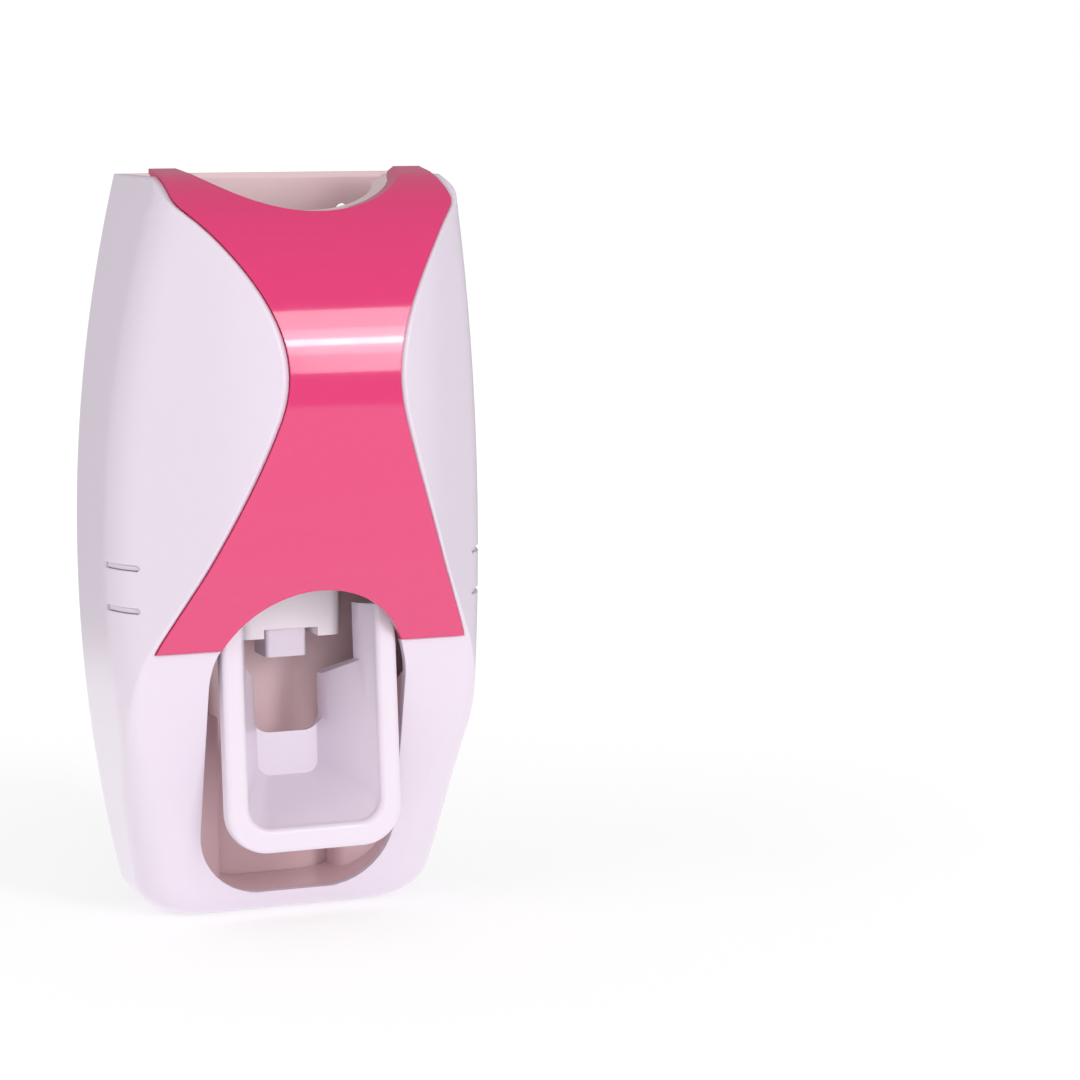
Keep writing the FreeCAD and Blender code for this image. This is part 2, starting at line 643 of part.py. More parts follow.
def front_panel():
    """Coloured hourglass panel with its arch, scoop, two ears and fixing pegs."""
    sheet = front_block(0.0).cut(front_block(PANEL_THICKNESS))
    sheet = sheet.common(box((-WIDTH, WIDTH), (-DEPTH, ear_back_y()), (FOOT_Z + SEAT_GAP, HEIGHT)))
    sheet = sheet.common(cheek_block(-PANEL_OVERHANG))
    frame = panel_frame(0.0)
    arch = rod((0, -DEPTH, ARCH_Z), (0, DEPTH, ARCH_Z), OPENING_HALF)
    sheet = sheet.common(frame).cut(arch).cut(scoop())
    behind = front_block(PANEL_THICKNESS / 2)
    pegs = [rod((x, -DEPTH, z), (x, front_y(z, RECESS + WALL) + PEG_REACH, z), PEG_RADIUS).common(behind)
            for x, z in peg_places()]
    return joined([sheet] + pegs)


def rear_cover():
    """Wall plate with keyholes and two side tongues that snap into the housing."""
    inset = WALL + SEAT_GAP
    form = body_form(inset, inset, BACK_Y)
    plate = form.common(box((-WIDTH, WIDTH), (COVER_Y, BACK_Y), (0, RIM_Z)))
    plate = plate.cut(prism([(COVER_Y, RIM_Z - COVER_LIP, 0), (COVER_Y + COVER_LIP, RIM_Z, 0),
                             (COVER_Y, RIM_Z, 0)], "x", -WIDTH, WIDTH))
    low = FOOT_Z + SLOTS_ABOVE_FOOT[0] - TONGUE_BORDER
    high = FOOT_Z + SLOTS_ABOVE_FOOT[1] + TONGUE_BORDER
    tongues = form.cut(body_form(inset + TONGUE_THICKNESS, inset, BACK_Y)).common(
        box((-WIDTH, WIDTH), (SLOT_Y[0] - TONGUE_TIP, BACK_Y - TINY), (low, high)))
    tongues = tongues.common(front_block(RECESS + inset))
    barbs = body_form(BARB_SETBACK, 0.0, BACK_Y).common(slot_boxes(SEAT_GAP)).cut(
        body_form(inset + TONGUE_THICKNESS / 2, inset, BACK_Y))
    cover = joined([plate, tongues, barbs])
    keyhole_z = HEIGHT - KEYHOLE_BELOW_TOP
    near = COVER_Y - MARGIN
    far = BACK_Y + MARGIN
    half = KEYHOLE_SLOT_RADIUS
    slot_top = keyhole_z + KEYHOLE_SLOT_RISE + half
    for x in (KEYHOLE_X, -KEYHOLE_X):
        slot = [(x - half, keyhole_z, 0), (x + half, keyhole_z, 0), (x + half, slot_top, half),
                (x - half, slot_top, half)]
        cover = cover.cut(rod((x, near, keyhole_z), (x, far, keyhole_z), KEYHOLE_RADIUS))
        cover = cover.cut(prism(slot, "y", near, far))
    return cover


def pump_deck():
    """Floor of the tube bay, dropped on the housing's ledges."""
    inset = WALL + SEAT_GAP
    deck = body_form(inset, inset, COVER_Y - SEAT_GAP).common(front_block(RECESS + inset))
    deck = deck.common(slab(DECK_Z, DECK_Z + DECK_THICKNESS))
    deck = drill(deck, [(0, TUBE_Y)], DECK_Z - MARGIN, DECK_Z + MARGIN, CUP_RADIUS + SEAT_GAP)
    return drill(deck, ledge_screw_places() + flange_screw_places(), DECK_Z - MARGIN, DECK_Z + MARGIN,
                 SCREW_RADIUS + SEAT_GAP)


def pump_body():
    """Cylinder, inlet duct, tube cup, lever ears and nozzle socket in one moulding."""
    duct_z = DECK_Z - FLANGE_THICKNESS - DUCT_WALL - DUCT_RADIUS
    flange_z = DECK_Z - FLANGE_THICKNESS
    inside_z = DECK_Z - FLANGE_THICKNESS / 2
    flange = box((-PUMP_HALF, PUMP_HALF), (PIVOT_Y - FLANGE_AHEAD, PUMP_REAR_Y), (flange_z, DECK_Z))
    ear = prism([(PIVOT_Y - EAR_RADIUS, PIVOT_Z - EAR_RADIUS, EAR_RADIUS),
                 (PIVOT_Y + EAR_RADIUS, PIVOT_Z - EAR_RADIUS, EAR_RADIUS),
                 (PIVOT_Y + EAR_RADIUS, inside_z, 0), (PIVOT_Y - EAR_RADIUS, inside_z, 0)],
                "x", PUMP_HALF - EAR_THICKNESS, PUMP_HALF)
    duct_front = TUBE_Y - DUCT_RADIUS - 2 * DUCT_WALL
    spine = box((-SPINE_HALF, SPINE_HALF), (duct_front, PUMP_REAR_Y),
                (duct_z - DUCT_RADIUS - DUCT_WALL, inside_z))
    web = box((-SPINE_HALF, SPINE_HALF), (CYLINDER_Y, PUMP_REAR_Y), (PISTON_Z, duct_z))
    cylinder = rod((0, CYLINDER_Y, PISTON_Z), (0, PUMP_REAR_Y, PISTON_Z), CYLINDER_RADIUS)
    foot_top = PISTON_Z - BORE_RADIUS - PORT_SETBACK
    foot = prism(shroud_plan(SHROUD_WALL + SEAT_GAP, PUMP_REAR_Y), "z", NOZZLE_TOP_Z, foot_top)
    foot = foot.common(box((-WIDTH, WIDTH), (CYLINDER_Y, PUMP_REAR_Y), (0, foot_top)))
    cup = rod((0, TUBE_Y, inside_z), (0, TUBE_Y, DECK_Z + CUP_RISE), CUP_RADIUS)
    body = joined([flange, both_sides(ear), spine, web, cylinder, foot, cup])
    valve_top = SPIGOT_TOP_Z + VALVE_THICKNESS
    for start, end, radius in (
            ((0, CYLINDER_Y - MARGIN, PISTON_Z), (0, BORE_END_Y, PISTON_Z), BORE_RADIUS),
            ((0, TUBE_Y, DECK_Z + CUP_FLOOR), (0, TUBE_Y, DECK_Z + CUP_RISE + MARGIN), CUP_BORE),
            ((0, TUBE_Y, duct_z), (0, TUBE_Y, DECK_Z + CUP_RISE), DUCT_RADIUS),
            ((0, TUBE_Y, duct_z), (0, PORT_Y, duct_z), DUCT_RADIUS),
            ((0, PORT_Y, duct_z), (0, PORT_Y, PISTON_Z), PORT_RADIUS),
            ((0, PORT_Y, PISTON_Z), (0, PORT_Y, valve_top), PORT_RADIUS),
            ((0, NOZZLE_Y, valve_top), (0, NOZZLE_Y, valve_top + PLENUM_TALL), PLENUM_RADIUS),
            ((0, NOZZLE_Y, NOZZLE_TOP_Z - MARGIN), (0, NOZZLE_Y, valve_top), SPIGOT_RADIUS + PRESS_GAP),
            ((-PUMP_HALF - MARGIN, PIVOT_Y, PIVOT_Z), (PUMP_HALF + MARGIN, PIVOT_Y, PIVOT_Z),
             PIVOT_RADIUS + PRESS_GAP)):
        body = body.cut(rod(start, end, radius))
    body = drill(body, flange_screw_places(), flange_z - MARGIN, DECK_Z + TINY, SCREW_RADIUS)
    screw_top = NOZZLE_TOP_Z + SCREW_LENGTH
    return drill(body, shroud_screw_places(), NOZZLE_TOP_Z - MARGIN, screw_top, SCREW_RADIUS)


def tube_collar():
    """Ribbed ring that clamps the tube seal on the pump's cup."""
    inner = CUP_RADIUS + SEAT_GAP
    outer = inner + COLLAR_WALL
    low = DECK_Z + DECK_THICKNESS + SEAT_GAP
    high = DECK_Z + COLLAR_RISE
    ring = rod((0, TUBE_Y, low), (0, TUBE_Y, high), outer)
    grips = []
    for step in range(COLLAR_GRIPS):
        angle = 360.0 / COLLAR_GRIPS * step
        x = outer * cosine(angle)
        y = TUBE_Y + outer * sine(angle)
        grips.append(rod((x, y, low), (x, y, high - COLLAR_TOP), COLLAR_GRIP_RADIUS))
    ring = joined([ring] + grips)
    ring = ring.cut(rod((0, TUBE_Y, low - MARGIN), (0, TUBE_Y, high - COLLAR_TOP), inner))
    return ring.cut(rod((0, TUBE_Y, low), (0, TUBE_Y, high + MARGIN), COLLAR_MOUTH))


def tube_seal():
    """Soft sleeve that grips the neck of the upturned tube."""
    low = DECK_Z + CUP_FLOOR + VALVE_THICKNESS
    high = DECK_Z + CUP_RISE + SEAL_LIP
    sleeve = rod((0, TUBE_Y, low), (0, TUBE_Y, high), CUP_BORE - PRESS_GAP)
    lip = rod((0, TUBE_Y, high - SEAL_LIP), (0, TUBE_Y, high), CUP_RADIUS - SEAT_GAP)
    seal = joined([sleeve, lip])
    lead = Part.makeCone(NECK_RADIUS, NECK_RADIUS + SEAL_LIP, SEAL_LIP, Vector(0, TUBE_Y, high - SEAL_LIP))
    return seal.cut(rod((0, TUBE_Y, low - MARGIN), (0, TUBE_Y, high), NECK_RADIUS)).cut(lead)


def inlet_valve():
    """Soft disc with a hinged flap over the pump's inlet."""
    low = DECK_Z + CUP_FLOOR
    disc = rod((0, TUBE_Y, low), (0, TUBE_Y, low + VALVE_THICKNESS), CUP_BORE - PRESS_GAP)
    slit = pipe((0, TUBE_Y, low - MARGIN), (0, TUBE_Y, low + MARGIN), FLAP_RADIUS + FLAP_SLIT, FLAP_RADIUS)
    half = FLAP_RADIUS / 2
    hinge = box((-half, half), (TUBE_Y, TUBE_Y + CUP_BORE), (low - MARGIN, low + MARGIN))
    return disc.cut(slit.cut(hinge))


def nozzle():
    """Square spout with a round spigot pressed into the pump."""
    half = NOZZLE_SIDE / 2
    tip_z = FOOT_Z - NOZZLE_TIP_BELOW_FOOT
    block = prism([(-half, NOZZLE_Y - half, NOZZLE_EDGE), (half, NOZZLE_Y - half, NOZZLE_EDGE),
                   (half, NOZZLE_Y + half, NOZZLE_EDGE), (-half, NOZZLE_Y + half, NOZZLE_EDGE)],
                  "z", tip_z, NOZZLE_TOP_Z)
    spigot = rod((0, NOZZLE_Y, NOZZLE_TOP_Z - NOZZLE_EDGE), (0, NOZZLE_Y, SPIGOT_TOP_Z), SPIGOT_RADIUS)
    above = (0, NOZZLE_Y, SPIGOT_TOP_Z + TINY)
    spout = joined([block, spigot])
    spout = spout.cut(rod((0, NOZZLE_Y, NOZZLE_TOP_Z - NOZZLE_BORE), above, NOZZLE_BORE))
    return spout.cut(rod((0, NOZZLE_Y, tip_z - TINY), above, NOZZLE_EXIT))


def outlet_valve():
    """Soft duckbill held between the nozzle's spigot and the pump."""
    valve_top = SPIGOT_TOP_Z + VALVE_THICKNESS
    flange = rod((0, NOZZLE_Y, SPIGOT_TOP_Z), (0, NOZZLE_Y, valve_top), SPIGOT_RADIUS - RUN_GAP)
    tip_z = SPIGOT_TOP_Z - DUCKBILL_LENGTH
    outer = NOZZLE_BORE - 2 * SEAT_GAP
    bill = Part.makeCone(DUCKBILL_TIP, outer, DUCKBILL_LENGTH, Vector(0, NOZZLE_Y, tip_z))
    inside = Part.makeCone(DUCKBILL_TIP / 2, outer - DUCKBILL_TIP, DUCKBILL_LENGTH + VALVE_THICKNESS,
                           Vector(0, NOZZLE_Y, tip_z))
    return joined([flange, bill]).cut(inside)


def shroud_plan(inset, rear):
    """Plan of the shroud back to rear, its front corners rounded, smaller by inset."""
    half = SHROUD_HALF - inset
    front = SHROUD_Y + inset
    radius = SHROUD_RADIUS - inset
    return [(half, front, radius), (half, rear, 0), (-half, rear, 0), (-half, front, radius)]


def pump_shroud():
    """White cover below the cylinder, with two rails beside the nozzle."""
    outside = prism(shroud_plan(0.0, PUMP_REAR_Y), "z", SHROUD_Z - RAIL_DROP, SHROUD_Z + SHROUD_TALL)
    inside = prism(shroud_plan(SHROUD_WALL, PUMP_REAR_Y + MARGIN), "z",
                   SHROUD_Z + SHROUD_FLOOR, SHROUD_Z + SHROUD_TALL + MARGIN)
    run = (SHROUD_Y - MARGIN, PUMP_REAR_Y + MARGIN)
    channel = box((-RAIL_INNER, RAIL_INNER), run, (SHROUD_Z - MARGIN, SHROUD_Z))
    half = NOZZLE_SIDE / 2 + SEAT_GAP
    mouth = box((-half, half), (NOZZLE_Y - half, NOZZLE_Y + half), (SHROUD_Z - MARGIN, SHROUD_Z + MARGIN))
    shroud = outside.cut(inside).cut(channel).cut(mouth)
    head_z = SHROUD_Z - RAIL_DROP
    low = head_z - MARGIN
    shroud = drill(shroud, shroud_screw_places(), low, SHROUD_Z + MARGIN, SCREW_RADIUS + SEAT_GAP)
    head_top = head_z + SCREW_HEAD + SEAT_GAP
    return drill(shroud, shroud_screw_places(), low, head_top, SCREW_HEAD_RADIUS + SEAT_GAP)


def screw(x, y, seat_z, down):
    """Pan-head screw whose head sits at seat_z; its shank runs down or up."""
    way = -1 if down else 1
    shank = rod((x, y, seat_z), (x, y, seat_z + way * SCREW_LENGTH), SCREW_RADIUS - RUN_GAP)
    head = rod((x, y, seat_z), (x, y, seat_z - way * SCREW_HEAD), SCREW_HEAD_RADIUS)
    top_z = seat_z - way * SCREW_HEAD
    depth = (top_z - SCREW_SLOT, top_z + SCREW_SLOT)
    piece = joined([shank, head])
    for a, b in ((SCREW_HEAD, SCREW_SLOT / 2), (SCREW_SLOT / 2, SCREW_HEAD)):
        piece = piece.cut(box((x - a, x + a), (y - b, y + b), depth))
    return piece


def deck_screws():
    """Four screws through the deck into the ledges."""
    seat = DECK_Z + DECK_THICKNESS
    return Part.makeCompound([screw(x, y, seat, True) for x, y in ledge_screw_places()])


def pump_screws():
    """Four screws through the deck into the pump's flange."""
    seat = DECK_Z + DECK_THICKNESS
    return Part.makeCompound([screw(x, y, seat, True) for x, y in flange_screw_places()])


def shroud_screws():
    """Two screws up through the shroud's rails into the pump."""
    seat = SHROUD_Z - RAIL_DROP + SCREW_HEAD + SEAT_GAP
    return Part.makeCompound([screw(x, y, seat, False) for x, y in shroud_screw_places()])


def pivot_pins():
    """Two headed pins from the pump's ears out through the lever's arms."""
    inner = PUMP_HALF - EAR_THICKNESS
    outer = ARM_OUTER + CLIP_GAP + 2 * CLIP_THICKNESS
    pins = []
    for side in (1, -1):
        root = (side * inner, PIVOT_Y, PIVOT_Z)
        pin = rod(root, (side * outer, PIVOT_Y, PIVOT_Z), PIVOT_RADIUS)
        head = rod((side * (inner - CLIP_THICKNESS), PIVOT_Y, PIVOT_Z), root, PIN_HEAD_RADIUS)
        pins.append(joined([pin, head]))
    return Part.makeCompound(pins)


def pivot_clips():
    """Open rings that keep the lever's arms on the pivot pins."""
    clips = []
    inner = ARM_OUTER + CLIP_GAP
    for side in (1, -1):
        near = side * inner
        far = side * (inner + CLIP_THICKNESS)
        hole = PIVOT_RADIUS + PRESS_GAP
        clip = pipe((near, PIVOT_Y, PIVOT_Z), (far, PIVOT_Y, PIVOT_Z), CLIP_RADIUS, hole)
        mouth = box((min(near, far), max(near, far)), (PIVOT_Y, PIVOT_Y + 2 * CLIP_RADIUS),
                    (PIVOT_Z - CLIP_MOUTH / 2, PIVOT_Z + CLIP_MOUTH / 2))
        clips.append(clip.cut(mouth))
    return Part.makeCompound(clips)


# Piston group

def seal_places():
    """Middle of each piston ring along the piston."""
    return [PISTON_REAR_Y - PISTON_LENGTH * share for share in (0.27, 0.73)]


def piston():
    """Plunger with a crosshead that the lever carries on the cross pin."""
    half = CROSSHEAD_TALL / 2
    front, rear = CROSS_PIN_Y - half, CROSS_PIN_Y + half
    low, high = PISTON_Z - half, PISTON_Z + half
    edge = CROSSHEAD_EDGE
    bar = prism([(front, low, edge), (rear, low, edge), (rear, high, edge), (front, high, edge)],
                "x", -PUMP_HALF, PUMP_HALF)
    end = (0, PISTON_REAR_Y, PISTON_Z)
    stem = rod((0, CROSS_PIN_Y, PISTON_Z), end, ROD_RADIUS)
    head = rod((0, PISTON_REAR_Y - PISTON_LENGTH, PISTON_Z), end, BORE_RADIUS - RUN_GAP)
    plunger = joined([bar, stem, head])
    for y in seal_places():
        half_groove = SEAL_SECTION + RUN_GAP
        plunger = plunger.cut(pipe((0, y - half_groove, PISTON_Z), (0, y + half_groove, PISTON_Z),
                                   BORE_RADIUS + MARGIN, BORE_RADIUS - 2 * SEAL_SECTION - 2 * RUN_GAP))
    reach = PUMP_HALF + MARGIN
    hole = CROSS_PIN_RADIUS + PRESS_GAP
    return plunger.cut(rod((-reach, CROSS_PIN_Y, PISTON_Z), (reach, CROSS_PIN_Y, PISTON_Z), hole))


def piston_seals():
    """Two soft rings in the piston's grooves."""
    radius = BORE_RADIUS - RUN_GAP - SEAL_SECTION
    return Part.makeCompound([Part.makeTorus(radius, SEAL_SECTION, Vector(0, y, PISTON_Z), Vector(0, 1, 0))
                              for y in seal_places()])


def cross_pin():
    """Pin through the crosshead into the slots of the lever's arms."""
    reach = ARM_OUTER + CLIP_THICKNESS
    return rod((-reach, CROSS_PIN_Y, PISTON_Z), (reach, CROSS_PIN_Y, PISTON_Z), CROSS_PIN_RADIUS)


def gland_cap():
    """Cap that guides the piston rod and seats the spring."""
    cap = rod((0, GLAND_FRONT_Y, PISTON_Z), (0, CYLINDER_Y, PISTON_Z), CYLINDER_RADIUS)
    tip = (0, CYLINDER_Y + GLAND_SPIGOT, PISTON_Z)
    spigot = rod((0, CYLINDER_Y - TINY, PISTON_Z), tip, BORE_RADIUS - PRESS_GAP)
    hole = rod((0, GLAND_FRONT_Y, PISTON_Z), tip, ROD_RADIUS + 2 * RUN_GAP)
    return joined([cap, spigot]).cut(hole)


def arc_from(start, tangent, end):
    """Arc from start along tangent to end."""
    chord = end - start
    along = Vector(chord)
    along.normalize()
    across = tangent - along * tangent.dot(along)
    if across.Length < TINY * TINY:
        return Part.makeLine(start, end)
    across.normalize()
    bend = tangent.getAngle(along) / 2
    middle = start + chord * 0.5 + across * (chord.Length / 2 * math.tan(bend))
    return Part.Arc(start, middle, end).toShape()


def return_spring():
    """Coil between the crosshead and the gland cap, drawn as two arcs for each quarter turn."""
    start_y = CROSS_PIN_Y + CROSSHEAD_TALL / 2 + SPRING_WIRE + RUN_GAP
    end_y = GLAND_FRONT_Y - SPRING_WIRE - RUN_GAP
    quarters = int(round(SPRING_TURNS * 4))
    rise = (end_y - start_y) / (2 * math.pi * SPRING_TURNS)

    def at(turn):
        across = Vector(SPRING_RADIUS * math.cos(turn), 0, SPRING_RADIUS * math.sin(turn))
        return across + Vector(0, start_y + rise * turn, PISTON_Z)

    def heading(turn):
        way = Vector(-SPRING_RADIUS * math.sin(turn), rise, SPRING_RADIUS * math.cos(turn))
        return way.normalize()

    edges = []
    for step in range(quarters):
        turn, next_turn = step * math.pi / 2, (step + 1) * math.pi / 2
        a, b, go, arrive = at(turn), at(next_turn), heading(turn), heading(next_turn)
        gap = b - a
        spread = 2 * (1 - go.dot(arrive))
        both = gap.dot(go + arrive)
        reach = (-both + math.sqrt(both ** 2 + spread * gap.dot(gap))) / spread
        meet = (a + b + (go - arrive) * reach) * 0.5
        edges.append(arc_from(a, go, meet))
        back = arc_from(b, arrive * -1, meet)
        middle = back.valueAt((back.FirstParameter + back.LastParameter) / 2)
        edges.append(Part.Arc(meet, middle, b).toShape())
    section = Part.Wire(Part.makeCircle(SPRING_WIRE, at(0), heading(0)))
    return Part.Wire(edges).makePipeShell([section], True, False)


# Lever group

def lever_edge_z():
    """Height at which the lever's bars pass behind the panel's arch."""
    return ARCH_Z + math.sqrt(OPENING_HALF ** 2 - RING_HALF ** 2)


def lever_front_y():
    """Front of the lever where its bars pass behind the panel."""
    return front_y(lever_edge_z(), PANEL_THICKNESS) + LEVER_BEHIND_PANEL


def u_corners(half, bottom, radius, top):
    """Upright U seen from the front, closed along its top."""
    return mirrored_corners([(half, bottom, radius), (half, top, 0)])


def lever_ring(top):
    """Flat U-shaped frame at the front of the lever, its front edges rounded."""
    front = lever_front_y()
    inner_half = RING_HALF - RING_BAR
    outer = prism(u_corners(RING_HALF, RING_BOTTOM_Z, RING_CORNER, top), "y", front, front + RING_THICKNESS)
    inner = prism(u_corners(inner_half, RING_BOTTOM_Z + RING_BOTTOM_BAR, FUNNEL_FRONT_CORNER, top + MARGIN),
                  "y", front - MARGIN, front + RING_THICKNESS + MARGIN)
    ring = outer.cut(inner)
    edges = [edge for edge in ring.Edges
             if edge.BoundBox.YMax < front + TINY and edge.BoundBox.ZMin < top - TINY]
    return ring.makeFillet(RING_EDGE, edges)


def funnel_loft(grow, top):
    """Tapered space from the ring to the back plate, larger by grow."""
    front = lever_front_y()
    near = front + RING_THICKNESS / 2
    far = front + FUNNEL_DEPTH + grow
    sections = []
    for y, half, bottom, radius in (
            (near, RING_HALF - RING_BAR, RING_BOTTOM_Z + RING_BOTTOM_BAR, FUNNEL_FRONT_CORNER),
            (far, FUNNEL_REAR_HALF, FUNNEL_REAR_BOTTOM_Z, FUNNEL_REAR_CORNER)):
        corners = u_corners(half + grow, bottom - grow, radius + grow, top)
        sections.append(Part.Wire(outline_edges(corners, lambda p, y=y: Vector(p.x, y, p.y))))
    return Part.makeLoft(sections, True, True)


def lever_arm(top_of_ring):
    """Arm from the ring's bar up to the pivot, on the right-hand side."""
    front = lever_front_y()
    edge_z = lever_edge_z()
    low_z = edge_z - 3 * RING_THICKNESS
    lean = math.tan(math.radians(LEVER_LEAN))
    low_y = front - (edge_z - low_z) * lean + RING_EDGE
    arm_front, arm_rear = PIVOT_Y - EAR_RADIUS, PIVOT_Y + EAR_RADIUS
    top_z = PIVOT_Z + EAR_RADIUS
    bar_rear = front + RING_THICKNESS
    corners = [(low_y, low_z, 0), (low_y + RING_EDGE, edge_z, 0), (arm_front, PISTON_Z, ARM_BEND),
               (arm_front, top_z, EAR_RADIUS), (arm_rear, top_z, EAR_RADIUS), (arm_rear, PISTON_Z, ARM_BEND),
               (bar_rear + RING_EDGE, top_of_ring, ARM_BEND), (bar_rear - RING_EDGE, low_z, 0)]
    return prism(corners, "x", ARM_INNER, ARM_OUTER)


def push_lever():
    """Brush lever: front ring, funnel with a nozzle window, and two arms to the pivot pins."""
    top = FOOT_Z + RING_ABOVE_FOOT
    front = lever_front_y()
    funnel = funnel_loft(FUNNEL_WALL, top).cut(funnel_loft(0.0, top + MARGIN))
    step_z = FOOT_Z - WINDOW_STEP_BELOW_FOOT
    wide = SHROUD_HALF + 2 * MOVE_GAP
    right = [(WINDOW_HALF, WINDOW_BOTTOM_Z, WINDOW_CORNER), (WINDOW_HALF, step_z, 0),
             (wide, step_z + WINDOW_STEP_RISE, 0), (wide, top + MARGIN, 0)]
    window = prism(mirrored_corners(right), "y", front + RING_THICKNESS, front + FUNNEL_DEPTH + MARGIN)
    paddle = joined([lever_ring(top), funnel]).cut(window)
    paddle.rotate(Vector(0, front, lever_edge_z()), Vector(1, 0, 0), -LEVER_LEAN)
    lever = joined([paddle, both_sides(lever_arm(top))])
    reach = RING_HALF + MARGIN
    lever = lever.cut(rod((-reach, PIVOT_Y, PIVOT_Z), (reach, PIVOT_Y, PIVOT_Z), PIVOT_RADIUS + RUN_GAP))
    half = CROSS_PIN_RADIUS + 2 * RUN_GAP
    low, high = PISTON_Z - half - SLOT_PLAY, PISTON_Z + half + SLOT_PLAY
    near, far = CROSS_PIN_Y - half, CROSS_PIN_Y + half
    slot = prism([(near, low, half), (far, low, half), (far, high, half), (near, high, half)],
                 "x", -reach, reach)
    return lever.cut(slot)


PIECES = (
    front_housing, drip_bowl, front_panel, rear_cover, pump_deck, pump_body, tube_collar, tube_seal,
    inlet_valve, nozzle, outlet_valve, pump_shroud, gland_cap, deck_screws, pump_screws, shroud_screws,
    pivot_pins, pivot_clips, push_lever, piston, piston_seals, cross_pin, return_spring,
)

os.makedirs("parts", exist_ok=True)
for piece in PIECES:
    shape = piece()
    shape.exportStep("parts/" + piece.__name__ + ".step")
    print(piece.__name__, len(shape.Solids), "valid" if shape.isValid() else "not valid")
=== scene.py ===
"""Wall-hung toothpaste dispenser: the dressed model, its studio and its camera.

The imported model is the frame. The panel and the shell are built again as clean
quad skins from the same outline that the solids follow, repeats are made with
Geometry Nodes, and the other mouldings are merged copies of their solids.
"""
import logging
import math
from dataclasses import dataclass
from enum import Enum
from typing import Any, Sequence

import bmesh
import bpy
import numpy as np
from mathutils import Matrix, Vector


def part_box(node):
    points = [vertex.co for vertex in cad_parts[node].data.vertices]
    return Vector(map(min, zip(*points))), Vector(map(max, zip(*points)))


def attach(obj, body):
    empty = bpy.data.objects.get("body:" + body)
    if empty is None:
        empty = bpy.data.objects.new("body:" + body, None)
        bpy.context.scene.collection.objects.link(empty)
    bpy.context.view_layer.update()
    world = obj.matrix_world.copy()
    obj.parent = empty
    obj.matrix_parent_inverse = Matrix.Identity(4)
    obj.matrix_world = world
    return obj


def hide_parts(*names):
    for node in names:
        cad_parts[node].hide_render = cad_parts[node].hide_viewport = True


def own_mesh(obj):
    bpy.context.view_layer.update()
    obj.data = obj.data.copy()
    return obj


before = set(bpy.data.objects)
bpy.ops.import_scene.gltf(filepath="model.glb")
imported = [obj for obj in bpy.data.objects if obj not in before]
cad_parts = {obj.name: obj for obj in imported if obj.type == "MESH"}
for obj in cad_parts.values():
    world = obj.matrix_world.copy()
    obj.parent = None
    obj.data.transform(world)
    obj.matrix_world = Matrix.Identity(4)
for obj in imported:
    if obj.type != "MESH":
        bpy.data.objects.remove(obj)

LOG = logging.getLogger("dispenser")
MM = 0.001
TINY = 1e-6
SHELL_WHITE = (0.80, 0.71, 0.815)
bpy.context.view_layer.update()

Point = tuple[float, float, float]
Colour = tuple[float, float, float]
Socket = bpy.types.NodeSocket
Node = bpy.types.Node
Piece = bpy.types.Object
Material = bpy.types.Material


class Body(Enum):
    """Bodies that a piece can ride on."""

    HOUSING = "housing"
    LEVER = "lever"
    PLUNGER = "plunger"


class Slot(Enum):
    """Material slots of the record."""

    SHELL = "white_shell"
    PANEL = "pink_panel"
    LEVER = "white_lever"
    PUMP = "pump_plastic"
    SEAL = "soft_seal"
    STEEL = "steel"


# ---------------------------------------------------------------- finishes

